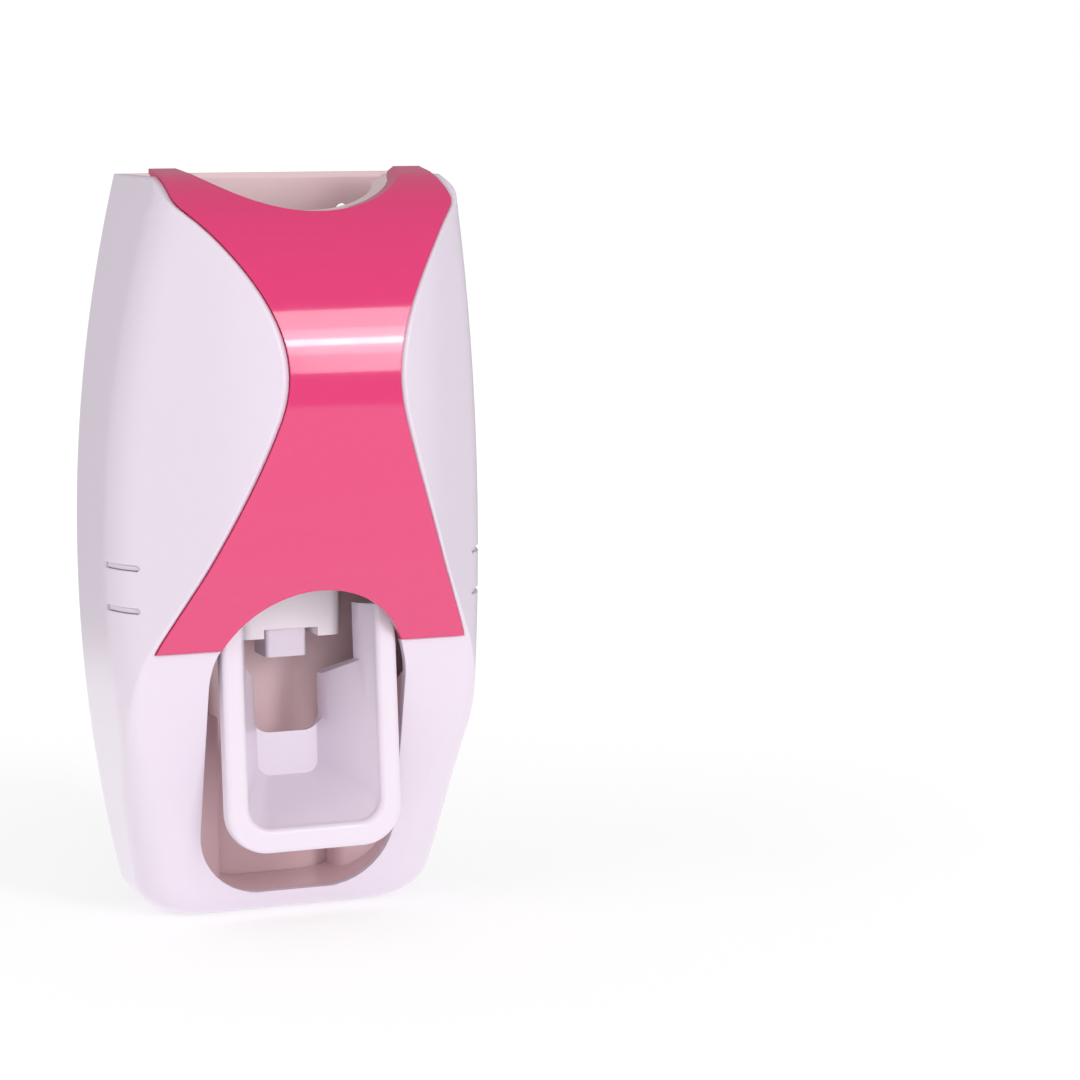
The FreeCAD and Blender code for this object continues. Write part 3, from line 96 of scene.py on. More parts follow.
class Shading:
    """Node tree of one material, with short calls to add nodes and links."""

    NOISE_SPAN = (0.15, 0.85)
    RAMP_STOPS = (0.2, 0.8)

    def __init__(self, name: str) -> None:
        """Start an empty material.

        Args:
            name: Name of the material.
        """
        self.material = bpy.data.materials.new(name)
        self.material.use_nodes = True
        self.tree = self.material.node_tree
        self.tree.nodes.clear()

    def add(self, kind: str, **settings: Any) -> Node:
        """Add one node.

        Args:
            kind: Node type without its ShaderNode prefix.
            settings: Node properties, or input values where a property of that name is missing.

        Returns:
            The new node.
        """
        node = self.tree.nodes.new("ShaderNode" + kind)
        for key, value in settings.items():
            if hasattr(node, key):
                setattr(node, key, value)
            else:
                node.inputs[key.replace("_", " ")].default_value = value
        return node

    def link(self, start: Socket, end: Socket) -> None:
        """Join an output to an input."""
        self.tree.links.new(start, end)

    def noise(self, scale: float, detail: float) -> Socket:
        """Noise on Object coordinates.

        Args:
            scale: Waves per metre.
            detail: Octaves.

        Returns:
            The noise factor.
        """
        where = self.add("TexCoord")
        noise = self.add("TexNoise", Scale=scale, Detail=detail)
        self.link(where.outputs["Object"], noise.inputs["Vector"])
        return noise.outputs["Fac"]

    def ranged(self, value: Socket, low: float, high: float,
               span: tuple[float, float] = NOISE_SPAN) -> Socket:
        """Spread a value between two others.

        Args:
            value: Value to spread, such as a noise.
            low: Result at the start of the span and before it.
            high: Result at its end and after it.
            span: Part of the value that is spread.

        Returns:
            The spread value.
        """
        spread = self.add("MapRange")
        for key, number in zip(("From Min", "From Max", "To Min", "To Max"), (*span, low, high)):
            spread.inputs[key].default_value = number
        self.link(value, spread.inputs["Value"])
        return spread.outputs["Result"]

    def blended(self, value: Socket, first: Colour, second: Colour) -> Socket:
        """Mix two colours by a noise.

        Args:
            value: Noise factor.
            first: Colour at the low end.
            second: Colour at the high end.

        Returns:
            The mixed colour.
        """
        ramp = self.add("ValToRGB")
        for stop, place, colour in zip(ramp.color_ramp.elements, self.RAMP_STOPS, (first, second)):
            stop.position = place
            stop.color = (*colour, 1.0)
        self.link(value, ramp.inputs["Fac"])
        return ramp.outputs["Color"]

    def either(self, share: Socket, first: Socket,
               second: Socket) -> Socket:
        """Mix two shaders.

        Args:
            share: Share of the second shader.
            first: First shader.
            second: Second shader.

        Returns:
            The mixed shader.
        """
        mix = self.add("MixShader")
        for number, socket in enumerate((share, first, second)):
            self.link(socket, mix.inputs[number])
        return mix.outputs[0]

    def closed(self, shader: Socket) -> Material:
        """End the tree in the material's output.

        Args:
            shader: Surface shader.

        Returns:
            The finished material.
        """
        end = self.add("OutputMaterial")
        self.link(shader, end.inputs["Surface"])
        return self.material


@dataclass(frozen=True)
class MouldedPlastic:
    """Injection-moulded plastic: slight drift of colour and gloss, and a faint ripple of the mould.

    Lengths are in metres. Faces marked as inner take the inner painted shade colour, a darker warm tint
    painted in as shadow inside the housing.
    """

    name: str
    colour: Colour
    deep: Colour
    roughness: float
    roughness_drift: float = 0.02
    ripple: float = 0.02
    coat: float = 0.0
    milkiness: float = 0.0
    wall_side: Colour | None = None
    # darker warm colour painted on faces marked as inner: painted shade
    inner_painted_shade: Colour | None = None
    colour_scale: float = 420.0
    gloss_scale: float = 260.0
    ripple_scale: float = 500.0
    ripple_depth: float = 0.00001
    edge: float = 0.00025
    edge_samples: int = 4
    index: float = 1.5
    coat_roughness: float = 0.05
    milk_radius: Colour = (1.0, 0.72, 0.66)
    milk_depth: float = 0.0012
    wall_y: float = 0.0292
    barb_x: float = 0.0372
    turn: float = 0.0003

    def material(self) -> Material:
        """Build the material.

        Returns:
            The material.
        """
        shade = Shading(self.name)
        skin = shade.add("BsdfPrincipled")
        paint = shade.blended(shade.noise(self.colour_scale, 0.0), self.deep, self.colour)
        if self.wall_side is not None:
            paint = self.backed(shade, paint)
        # faces marked as inner get the darker warm colour: painted shade, not a colour of the plastic
        if self.inner_painted_shade is not None:
            inner = shade.add("Attribute", attribute_name="inner")
            paint = self.mixed(shade, inner.outputs["Fac"], paint, self.inner_painted_shade)
        shade.link(paint, skin.inputs["Base Color"])
        low, high = self.roughness - self.roughness_drift, self.roughness + self.roughness_drift
        shade.link(shade.ranged(shade.noise(self.gloss_scale, 0.0), low, high), skin.inputs["Roughness"])
        rounded = shade.add("Bevel", samples=self.edge_samples, Radius=self.edge)
        bump = shade.add("Bump", Strength=self.ripple, Distance=self.ripple_depth)
        shade.link(shade.noise(self.ripple_scale, 0.0), bump.inputs["Height"])
        shade.link(rounded.outputs["Normal"], bump.inputs["Normal"])
        shade.link(bump.outputs["Normal"], skin.inputs["Normal"])
        for key, value in (("IOR", self.index), ("Coat Weight", self.coat),
                           ("Coat Roughness", self.coat_roughness), ("Subsurface Weight", self.milkiness),
                           ("Subsurface Radius", self.milk_radius), ("Subsurface Scale", self.milk_depth)):
            skin.inputs[key].default_value = value
        return shade.closed(skin.outputs["BSDF"])

    def backed(self, shade: Shading, paint: Socket) -> Socket:
        """Change the colour on the side that faces the wall and on the barbs in the side slots; the other
        sides keep the painted shade.

        Args:
            shade: Tree of the material.
            paint: Colour of the other sides.

        Returns:
            The colour of all sides.
        """
        where = shade.add("TexCoord")
        split = shade.add("SeparateXYZ")
        shade.link(where.outputs["Object"], split.inputs[0])
        width = shade.add("Math", operation="ABSOLUTE")
        shade.link(split.outputs["X"], width.inputs[0])
        either = shade.add("Math", operation="MAXIMUM")
        sides = ((split.outputs["Y"], self.wall_y), (width.outputs[0], self.barb_x))
        for number, (place, start) in enumerate(sides):
            shade.link(shade.ranged(place, 0.0, 1.0, (start, start + self.turn)), either.inputs[number])
        return self.mixed(shade, either.outputs[0], paint, self.wall_side)

    @staticmethod
    def mixed(shade: Shading, share: Socket, paint: Socket,
              other: Colour) -> Socket:
        """Mix a paint with one other colour.

        Args:
            shade: Tree of the material.
            share: Share of the other colour.
            paint: First colour.
            other: Other colour.

        Returns:
            The mixed colour.
        """
        mix = shade.add("MixRGB")
        shade.link(share, mix.inputs["Fac"])
        shade.link(paint, mix.inputs["Color1"])
        mix.inputs["Color2"].default_value = (*other, 1.0)
        return mix.outputs["Color"]


@dataclass(frozen=True)
class SoftRubber:
    """Soft seal rubber: matt, with a fine bloom."""

    name: str
    colour: Colour
    bloom: Colour
    roughness: float = 0.62
    drift: tuple[float, float] = (-0.08, 0.1)
    bloom_scale: float = 420.0
    bloom_octaves: float = 5.0
    gloss_scale: float = 600.0
    grain_scale: float = 1500.0
    grain_octaves: float = 3.0
    grain: float = 0.2
    grain_depth: float = 0.00003
    sheen: float = 0.15

    def material(self) -> Material:
        """Build the material.

        Returns:
            The material.
        """
        shade = Shading(self.name)
        skin = shade.add("BsdfPrincipled")
        bloom = shade.noise(self.bloom_scale, self.bloom_octaves)
        shade.link(shade.blended(bloom, self.colour, self.bloom), skin.inputs["Base Color"])
        low, high = (self.roughness + drift for drift in self.drift)
        gloss = shade.noise(self.gloss_scale, self.grain_octaves)
        shade.link(shade.ranged(gloss, low, high), skin.inputs["Roughness"])
        bump = shade.add("Bump", Strength=self.grain, Distance=self.grain_depth)
        shade.link(shade.noise(self.grain_scale, self.grain_octaves), bump.inputs["Height"])
        shade.link(bump.outputs["Normal"], skin.inputs["Normal"])
        skin.inputs["Sheen Weight"].default_value = self.sheen
        return shade.closed(skin.outputs["BSDF"])


@dataclass(frozen=True)
class BrushedSteel:
    """Plated steel with fine drawn lines along its length."""

    name: str
    colour: Colour = (0.60, 0.60, 0.62)
    worn: Colour = (0.46, 0.46, 0.48)
    roughness: float = 0.28
    drift: tuple[float, float] = (-0.08, 0.12)
    stretch: Point = (1.0, 0.06, 1.0)
    line_scale: float = 5200.0
    line_octaves: float = 4.0
    line: float = 0.25
    line_depth: float = 0.00001

    def material(self) -> Material:
        """Build the material.

        Returns:
            The material.
        """
        shade = Shading(self.name)
        skin = shade.add("BsdfPrincipled")
        where = shade.add("TexCoord")
        drawn = shade.add("Mapping", Scale=self.stretch)
        lines = shade.add("TexNoise", Scale=self.line_scale, Detail=self.line_octaves)
        shade.link(where.outputs["Object"], drawn.inputs["Vector"])
        shade.link(drawn.outputs["Vector"], lines.inputs["Vector"])
        value = lines.outputs["Fac"]
        shade.link(shade.blended(value, self.worn, self.colour), skin.inputs["Base Color"])
        low, high = (self.roughness + drift for drift in self.drift)
        shade.link(shade.ranged(value, low, high), skin.inputs["Roughness"])
        bump = shade.add("Bump", Strength=self.line, Distance=self.line_depth)
        shade.link(value, bump.inputs["Height"])
        shade.link(bump.outputs["Normal"], skin.inputs["Normal"])
        skin.inputs["Metallic"].default_value = 1.0
        return shade.closed(skin.outputs["BSDF"])


@dataclass(frozen=True)
class Finishes:
    """All finishes of the dispenser, made once."""

    shell: Material
    inside: Material
    panel: Material
    lever: Material
    shroud: Material
    pump: Material
    seal: Material
    steel: Material

    @classmethod
    def made(cls) -> "Finishes":
        """Build every material.

        Returns:
            The finishes.
        """
        return cls(
            # the shell's inner faces get a darker warm colour: painted shade inside the housing
            shell=MouldedPlastic("white_shell", SHELL_WHITE, (0.795, 0.705, 0.81), 0.3,
                                 inner_painted_shade=(0.83, 0.62, 0.65)).material(),
            # bowl, rear cover and deck: the shell's white plastic painted darker and warmer as shade inside
            # the housing; their wall side and barbs keep the plain white
            inside=MouldedPlastic("inner_white_painted_shade", (0.86, 0.63, 0.66), (0.85, 0.62, 0.65), 0.3,
                                  wall_side=SHELL_WHITE).material(),
            panel=MouldedPlastic("pink_panel", (0.73, 0.043, 0.176), (0.72, 0.042, 0.173), 0.11,
                                 coat=0.35).material(),
            lever=MouldedPlastic("white_lever", (0.83, 0.745, 0.845), (0.825, 0.74, 0.84), 0.3).material(),
            # the shroud is the lever's white plastic painted lighter to offset the shade that falls on it:
            # painted light
            shroud=MouldedPlastic("shroud_white_painted_light", (0.95, 0.865, 0.93), (0.945, 0.86, 0.925), 0.3).material(),
            pump=MouldedPlastic("milky_pump_plastic", (0.66, 0.65, 0.67), (0.62, 0.61, 0.63), 0.42,
                                roughness_drift=0.06, ripple=0.1, milkiness=0.2).material(),
            seal=SoftRubber("grey_seal_rubber", (0.44, 0.45, 0.47), (0.5, 0.51, 0.53)).material(),
            steel=BrushedSteel("plated_steel").material(),
        )


# ---------------------------------------------------------------- meshes

class Maker:
    """Turns points and faces into finished pieces on the frame."""

    MERGE = 2e-6
    BEVEL_SEGMENTS = 3

    @staticmethod
    def piece(name: str, mesh: bpy.types.Mesh) -> Piece:
        """Put a mesh in the scene.

        Args:
            name: Name of the piece.
            mesh: Its mesh, already in place.

        Returns:
            The object, at the origin.
        """
        made = bpy.data.objects.new(name, mesh)
        bpy.context.scene.collection.objects.link(made)
        return made

    @classmethod
    def closed_mesh(cls, name: str, points: Sequence[Point], faces: Sequence[Sequence[int]],
                    inner: Sequence[bool] = ()) -> bpy.types.Mesh:
        """Make a closed mesh with its doubles merged and its faces turned outwards.

        Args:
            name: Name of the mesh.
            points: Points in metres.
            faces: Faces as rows of point numbers.
            inner: Whether each face takes the painted inner shade, or nothing.

        Returns:
            The mesh.
        """
        form = bmesh.new()
        corners = [form.verts.new(p) for p in points]
        inner_painted_shade = form.faces.layers.float.new("inner") if inner else None
        for number, face in enumerate(faces):
            ring = list(dict.fromkeys(face))
            if len(ring) > 2:
                made = form.faces.new([corners[i] for i in ring])
                if inner_painted_shade is not None:
                    made[inner_painted_shade] = float(inner[number])
        bmesh.ops.remove_doubles(form, verts=form.verts, dist=cls.MERGE)
        bmesh.ops.dissolve_degenerate(form, edges=form.edges, dist=cls.MERGE)
        loose = [v for v in form.verts if not v.link_faces]
        bmesh.ops.delete(form, geom=loose, context="VERTS")
        bmesh.ops.recalc_face_normals(form, faces=form.faces)
        open_edges = sum(1 for e in form.edges if not e.is_manifold)
        if open_edges:
            LOG.warning("%s has %d open edges", name, open_edges)
        mesh = bpy.data.meshes.new(name)
        form.to_mesh(mesh)
        form.free()
        return mesh

    @staticmethod
    def applied(piece: Piece) -> Piece:
        """Make a piece's modifiers part of its mesh.

        Args:
            piece: Piece with modifiers.

        Returns:
            The same piece, with no modifiers.
        """
        bpy.context.view_layer.update()
        graph = bpy.context.evaluated_depsgraph_get()
        mesh = bpy.data.meshes.new_from_object(piece.evaluated_get(graph))
        piece.modifiers.clear()
        mesh.validate()
        piece.data = mesh
        mesh.name = piece.name
        return piece

    @staticmethod
    def shaded(mesh: bpy.types.Mesh, angle: float) -> None:
        """Shade a mesh smooth, but for edges sharper than an angle in degrees."""
        mesh.shade_smooth()
        mesh.set_sharp_from_angle(angle=math.radians(angle))

    @classmethod
    def bevelled(cls, piece: Piece, radius: float, angle: float = 35.0,
                 sharp_room: tuple[float, float, float] | None = None) -> Piece:
        """Round a piece's sharp edges.

        Args:
            piece: Piece to round.
            radius: Radius of the edges in millimetres.
            angle: Edges sharper than this are rounded, in degrees.
            sharp_room: Lowest and highest z and greatest y in millimetres. Edges between those
                heights or behind that depth stay sharp. None leaves out no edge.

        Returns:
            The same piece.
        """
        form = bmesh.new()
        form.from_mesh(piece.data)
        weight = form.edges.layers.float.new("bevel_weight_edge")
        for edge in form.edges:
            sharp = len(edge.link_faces) == 2 and edge.calc_face_angle(0.0) > math.radians(angle)
            held = sharp_room is not None and any(
                sharp_room[0] < v.co.z / MM < sharp_room[1] or v.co.y / MM > sharp_room[2]
                for v in edge.verts)
            edge[weight] = 1.0 if sharp and not held else 0.0
        form.to_mesh(piece.data)
        form.free()
        cls.shaded(piece.data, angle)
        bevel = piece.modifiers.new("edges", "BEVEL")
        bevel.width = radius * MM
        bevel.segments = cls.BEVEL_SEGMENTS
        bevel.limit_method = "WEIGHT"
        bevel.use_clamp_overlap = False
        bevel.harden_normals = True
        return cls.applied(piece)

    @classmethod
    def smoothed(cls, piece: Piece, angle: float = 35.0) -> Piece:
        """Smooth a piece's faces between its sharp edges.

        Args:
            piece: Piece to smooth.
            angle: Edges sharper than this stay sharp, in degrees.

        Returns:
            The same piece.
        """
        cls.shaded(piece.data, angle)
        weighted = piece.modifiers.new("normals", "WEIGHTED_NORMAL")
        weighted.keep_sharp = True
        return cls.applied(piece)

    @classmethod
    def copied(cls, node: str, angle: float = 30.0) -> Piece:
        """Merged copy of a solid's mesh, smooth between its edges.

        Args:
            node: Node to copy.
            angle: Edges sharper than this stay edges, in degrees.

        Returns:
            The new piece.
        """
        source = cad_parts[node].data
        points = [tuple(v.co) for v in source.vertices]
        faces = [tuple(p.vertices) for p in source.polygons]
        mesh = cls.closed_mesh(node + "_moulding", points, faces)
        return cls.smoothed(cls.piece(node + "_moulding", mesh), angle)

    @staticmethod
    def dressed(piece: Piece, finish: Material, slot: Slot, body: Body,
                *nodes: str) -> Piece:
        """Give a piece its finish and its place in the frame.

        Args:
            piece: Piece to dress.
            finish: Its material.
            slot: Not used.
            body: Body that it rides on.
            nodes: Nodes that it stands for.

        Returns:
            The same piece.
        """
        piece.data.materials.clear()
        piece.data.materials.append(finish)
        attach(piece, body.value)
        if nodes:
            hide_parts(*nodes)
        LOG.info("%s: %d faces", piece.name, len(piece.data.polygons))
        return piece


class Skin:
    """Closed wall between an outer and an inner grid of points, mirrored to both sides."""

    def __init__(self) -> None:
        """Start with no points."""
        self.points: list[Point] = []
        self.faces: list[tuple[int, ...]] = []
        # marks faces that take the painted inner shade
        self.inner: list[bool] = []

    def face(self, ring: Sequence[int], inner: bool = False) -> None:
        """Add one face, marked for the painted inner shade or not."""
        self.faces.append(tuple(ring))
        self.inner.append(inner)

    def grid(self, rows: Sequence[Sequence[Point]]) -> list[list[int]]:
        """Add the points of one side of the wall.

        Args:
            rows: Rows of points in millimetres, all of one length.

        Returns:
            Their numbers, in the same rows.
        """
        numbers = []
        for row in rows:
            start = len(self.points)
            self.points += [(x * MM, y * MM, z * MM) for x, y, z in row]
            numbers.append(list(range(start, len(self.points))))
        return numbers

    def cover(self, rows: Sequence[Sequence[int]], inner: bool = False) -> None:
        """Add a face in each mesh of a grid."""
        for low, high in zip(rows, rows[1:]):
            self.strip(low, high, inner)

    def strip(self, first: Sequence[int], second: Sequence[int], inner: bool = False) -> None:
        """Add faces between two rows of points."""
        for ring in zip(first, first[1:], second[1:], second):
            self.face(ring, inner)

    def mirrored(self) -> "Skin":
        """Add the left-hand twin.

        Returns:
            This skin.
        """
        count = len(self.points)
        self.points += [(-x, y, z) for x, y, z in self.points]
        self.faces += [tuple(count + i for i in reversed(face)) for face in self.faces]
        self.inner += self.inner
        return self


# ---------------------------------------------------------------- outer form

@dataclass(frozen=True)
class BodyForm:
    """Outline that the shell and the panel share, in millimetres and degrees."""

    height: float = 165.0
    half_width: float = 42.5
    half_depth: float = 30.0
    lower_lean: float = 13.2
    panel_lean: float = 30.0
    belly_lean: float = 13.0
    crown_lean: float = -84.0
    kink_radius: float = 20.0
    panel_run: float = 17.0
    belly_radius: float = 130.0
    nose_radius: float = 42.0
    crown_run: float = 2.0
    foot_above_kink: float = 4.9
    cheek_angle: float = 50.0
    cheek_radius: float = 67.0
    cheek_start: tuple[float, float] = (25.5, -18.3)
    cheek_corner: float = 17.0
    barrel_radius: float = 335.0
    barrel_z: float = 83.0
    base_corner: float = 11.0
    opening_half: float = 22.4
    opening_corner: float = 15.0
    opening_floor: float = 5.5
    arch_below_foot: float = 9.2
    scoop_radius: float = 39.5
    scoop_drop: float = 8.6
    shoulder_x: float = 31.3
    shoulder_taper: float = 1.0
    shoulder_drop: float = 7.0
    shoulder_rise: float = 5.0
    arc_steps: int = 60
    below_base: float = 6.0
    side_steps: int = 24
    corner_steps: int = 20
    slant_steps: int = 14
    cheek_steps: int = 30

    @property
    def kink_z(self) -> float:
        """Height where the lower front begins to bend forward."""
        lean = {key: math.sin(math.radians(value)) for key, value in (
            ("lower", self.lower_lean), ("panel", self.panel_lean), ("belly", self.belly_lean),
            ("crown", self.crown_lean))}
        rise = self.kink_radius * (lean["panel"] - lean["lower"])
        rise += self.belly_radius * (lean["panel"] - lean["belly"])
        rise += self.nose_radius * (lean["belly"] - lean["crown"])
        rise += self.panel_run * math.cos(math.radians(self.panel_lean))
        rise += self.crown_run * math.cos(math.radians(self.crown_lean))
        return self.height - rise

    @property
    def foot_z(self) -> float:
        """Height of the panel's lower edge."""
        return self.kink_z + self.foot_above_kink

    @property
    def arch_z(self) -> float:
        """Height of the arch's middle."""
        return self.foot_z - self.arch_below_foot

    @property
    def scoop_z(self) -> float:
        """Height of the scoop's middle."""
        return self.height - self.scoop_drop + self.scoop_radius

    def profile(self, inset: float) -> tuple[np.ndarray, np.ndarray]:
        """Side profile of the front.

        Args:
            inset: How far it is moved into the body.

        Returns:
            Its y and z values, from below the base up.
        """
        runs = ((self.lower_lean, self.lower_lean, self.kink_z / math.cos(math.radians(self.lower_lean))),
                (self.lower_lean, self.panel_lean, self.kink_radius),
                (self.panel_lean, self.panel_lean, self.panel_run),
                (self.panel_lean, self.belly_lean, self.belly_radius),
                (self.belly_lean, 0.0, self.nose_radius),
                (0.0, self.crown_lean, self.nose_radius),
                (self.crown_lean, self.crown_lean, self.crown_run))
        leans, ys, zs = [self.lower_lean], [0.0], [0.0]
        for start, end, size in runs:
            length = size * (abs(math.radians(end - start)) if start != end else 1.0) / self.arc_steps
            for step in range(1, self.arc_steps + 1):
                before = start + (end - start) * (step - 1) / self.arc_steps
                after = start + (end - start) * step / self.arc_steps
                middle = math.radians((before + after) / 2)
                ys.append(ys[-1] - math.sin(middle) * length)
                zs.append(zs[-1] + math.cos(middle) * length)
                leans.append(after)
        lean = np.radians(leans)
        y = np.array(ys) - min(ys) - self.half_depth + np.cos(lean) * inset
        z = np.array(zs) * self.height / zs[-1] + np.sin(lean) * inset
        low_y, low_z = y[0] + self.below_base * math.tan(lean[0]), z[0] - self.below_base
        return np.concatenate(([low_y], y)), np.concatenate(([low_z], z))

    def front_y(self, z: float, inset: float) -> float:
        """Depth of the front at one height."""
        y, heights = self.profile(inset)
        return float(np.interp(z, heights, y))

    def side_x(self, z: float, inset: float) -> float:
        """Half width of the barrel at one height.

        Args:
            z: Height.
            inset: How far it is moved into the body.

        Returns:
            The half width.
        """
        middle = self.half_width - self.barrel_radius
        reach = self.barrel_radius - self.base_corner
        drop = self.barrel_z - self.base_corner
        if z < self.barrel_z - (self.barrel_radius - inset) * drop / reach:
            corner = middle + math.sqrt(reach ** 2 - drop ** 2)
            radius = self.base_corner - inset
            return corner + math.sqrt(max(radius ** 2 - (self.base_corner - z) ** 2, 0.0))
        return middle + math.sqrt((self.barrel_radius - inset) ** 2 - (z - self.barrel_z) ** 2)

    def plan(self, z: float, inset: float) -> np.ndarray:
        """Plan of the right-hand side and cheek at one height, from the wall to the middle.

        Args:
            z: Height.
            inset: How far it is moved into the body.

        Returns:
            Rows of x, y and the outward normal.
        """
        angle = math.radians(self.cheek_angle)
        inward = np.array((-math.sin(angle), math.cos(angle)))
        start = np.array(self.cheek_start) + inward * inset
        centre = np.array(self.cheek_start) + inward * self.cheek_radius
        side = self.side_x(z, inset)
        radius = self.cheek_corner - inset
        corner_y = start[1] + (side - start[0]) * math.tan(angle)
        turn = math.pi / 2 - angle
        high_y = corner_y + radius * math.tan(turn / 2)
        rows = [(side, y, 1.0, 0.0) for y in np.linspace(self.half_depth, high_y, self.side_steps)]
        for a in np.linspace(0.0, -turn, self.corner_steps)[1:]:
            rows.append((side - radius + radius * math.cos(a), high_y + radius * math.sin(a),
                         math.cos(a), math.sin(a)))
        last = np.array(rows[-1][:2])
        for share in np.linspace(0.0, 1.0, self.slant_steps)[1:]:
            x, y = last + (start - last) * share
            rows.append((x, y, -inward[0], -inward[1]))
        reach = self.cheek_radius - inset
        for a in np.linspace(-turn, -math.acos(-centre[0] / reach), self.cheek_steps)[1:]:
            rows.append((centre[0] + reach * math.cos(a), centre[1] + reach * math.sin(a),
                         math.cos(a), math.sin(a)))
        return np.array(rows)

    def cheek_x(self, y: float, inset: float) -> float:
        """Half width of the plan at one depth, at the barrel's widest."""
        rows = self.plan(self.barrel_z, inset)
        return float(np.interp(-y, -rows[:, 1], rows[:, 0]))

    def opening_x(self, z: float) -> float:
        """Half width of the brush opening at one height, up to the panel's lower edge.

        Args:
            z: Height.

        Returns:
            The half width.
        """
        corner_z = self.opening_floor + self.opening_corner
        flat = self.opening_half - self.opening_corner
        if z < corner_z:
            return flat + math.sqrt(max(self.opening_corner ** 2 - (corner_z - z) ** 2, 0.0))
        return self.arch_x(z, 0.0) if z > self.arch_z else self.opening_half

    def arch_x(self, z: float, grow: float) -> float:
        """Half width of the arch at one height, larger by grow."""
        return math.sqrt(max((self.opening_half + grow) ** 2 - (z - self.arch_z) ** 2, 0.0))

    def scoop_x(self, z: float) -> float:
        """Half width of the scoop at one height."""
        return math.sqrt(max(self.scoop_radius ** 2 - (self.scoop_z - z) ** 2, 0.0))

    def arch_heights(self, low: float, grow: float, count: int) -> list[float]:
        """Heights that follow the arch.

        Args:
            low: Lowest height.
            grow: How much larger the arch is taken.
            count: How many heights.

        Returns:
            The heights, up to the arch's top.
        """
        radius = self.opening_half + grow
        turns = np.linspace(math.asin((low - self.arch_z) / radius), math.pi / 2, count)
        return [self.arch_z + radius * math.sin(turn) for turn in turns]

    def scoop_heights(self, high: float, count: int) -> list[float]:
        """Heights round the scoop, from its floor to one height."""
        turns = np.linspace(0.0, math.acos((self.scoop_z - high) / self.scoop_radius), count)
        return [self.scoop_z - self.scoop_radius * math.cos(turn) for turn in turns]

    def shoulder(self, z: float) -> float:
        """Half width of the panel's ears at one height.

        Args:
            z: Height.

        Returns:
            The half width.
        """
        low = self.height - 2 * self.shoulder_drop
        share = (z - low) / (self.height + self.shoulder_rise - low)
        return self.shoulder_x - self.shoulder_taper * share


def spaced(low: float, high: float, step: float) -> list[float]:
    """Even heights between two ends, both of them in."""
    return list(np.linspace(low, high, max(2, int(round((high - low) / step)) + 1)))


# ---------------------------------------------------------------- panel

@dataclass
class FrontPanel:
    """Pink hourglass panel with its arch, scoop and two ears, in millimetres."""

    form: BodyForm
    finish: Material
    thickness: float = 1.6
    side_inset: float = 0.4
    foot_gap: float = 0.15
    corner: float = 3.5
    columns: int = 30
    arch_rows: int = 14
    scoop_rows: int = 17
    row_step: float = 1.8
    above_arch: float = 1.2
    below_scoop: float = 0.8

    def heights(self) -> list[float]:
        """Heights of the rows, closer together round the arch and over the crown.

        Returns:
            Heights of the panel's face.
        """
        form = self.form
        rows = form.arch_heights(form.foot_z + self.foot_gap, 0.0, self.arch_rows)
        floor = form.height - form.scoop_drop
        rows += spaced(rows[-1] + self.above_arch, floor - self.below_scoop, self.row_step)
        rows += form.scoop_heights(form.height, self.scoop_rows)
        return rows

    def edge_x(self, z: float) -> float:
        """Half width of the panel's face at one height, with a soft corner below the ears.

        Args:
            z: Height of the row.

        Returns:
            The half width.
        """
        cheek = self.form.cheek_x(self.form.front_y(z, 0.0), self.side_inset)
        shoulder = self.form.shoulder(z)
        gap = max(self.corner - abs(cheek - shoulder), 0.0) / self.corner
        return min(cheek, shoulder) - gap ** 3 * self.corner / 6

    def row(self, y: float, z: float) -> list[Point]:
        """One row of the panel, from its outer edge to the arch, the middle or the scoop.

        Args:
            y: Depth of the row.
            z: Height of the row.

        Returns:
            Its points.
        """
        inner = max(self.form.arch_x(z, 0.0), self.form.scoop_x(z))
        return [(x, y, z) for x in np.linspace(self.edge_x(z), inner, self.columns)]

    def build(self) -> Piece:
        """Build the panel.

        Returns:
            The finished piece.
        """
        form = self.form
        face_y, face_z = form.profile(0.0)
        back_y, back_z = form.profile(self.thickness)
        rear = float(face_y[-1])
        arch_top, scoop_low = form.arch_z + form.opening_half, form.height - form.scoop_drop
        outer, inner = [], []
        steps = np.arange(len(face_z))
        for z in self.heights():
            step = float(np.interp(z, face_z, steps))
            y = float(np.interp(step, steps, face_y))
            level = z < arch_top + TINY or z > scoop_low - TINY
            z_back = z if level else float(np.interp(step, steps, back_z))
            y_back = float(np.interp(z_back, back_z, back_y)) if z_back < back_z[-1] else rear
            outer.append(self.row(y, z))
            inner.append(self.row(min(y_back, rear), z_back))
        skin = Skin()
        front, back = skin.grid(outer), skin.grid(inner)
        skin.cover(front)
        skin.cover(back)
        for column in (0, -1):
            side = [row[column] for row in front], [row[column] for row in back]
            pairs = list(zip(*side))
            for (a, b), (c, d), points in zip(pairs, pairs[1:], zip(outer, outer[1:])):
                if column == 0 or max(points[0][-1][0], points[1][-1][0]) > TINY:
                    skin.face((a, b, d, c))
        skin.strip(front[0], back[0])
        skin.strip(front[-1], back[-1])
        skin.mirrored()
        piece = Maker.piece("panel", Maker.closed_mesh("panel", skin.points, skin.faces))
        Maker.smoothed(piece)
        return Maker.dressed(piece, self.finish, Slot.PANEL, Body.HOUSING, "front_panel")


# ---------------------------------------------------------------- shell

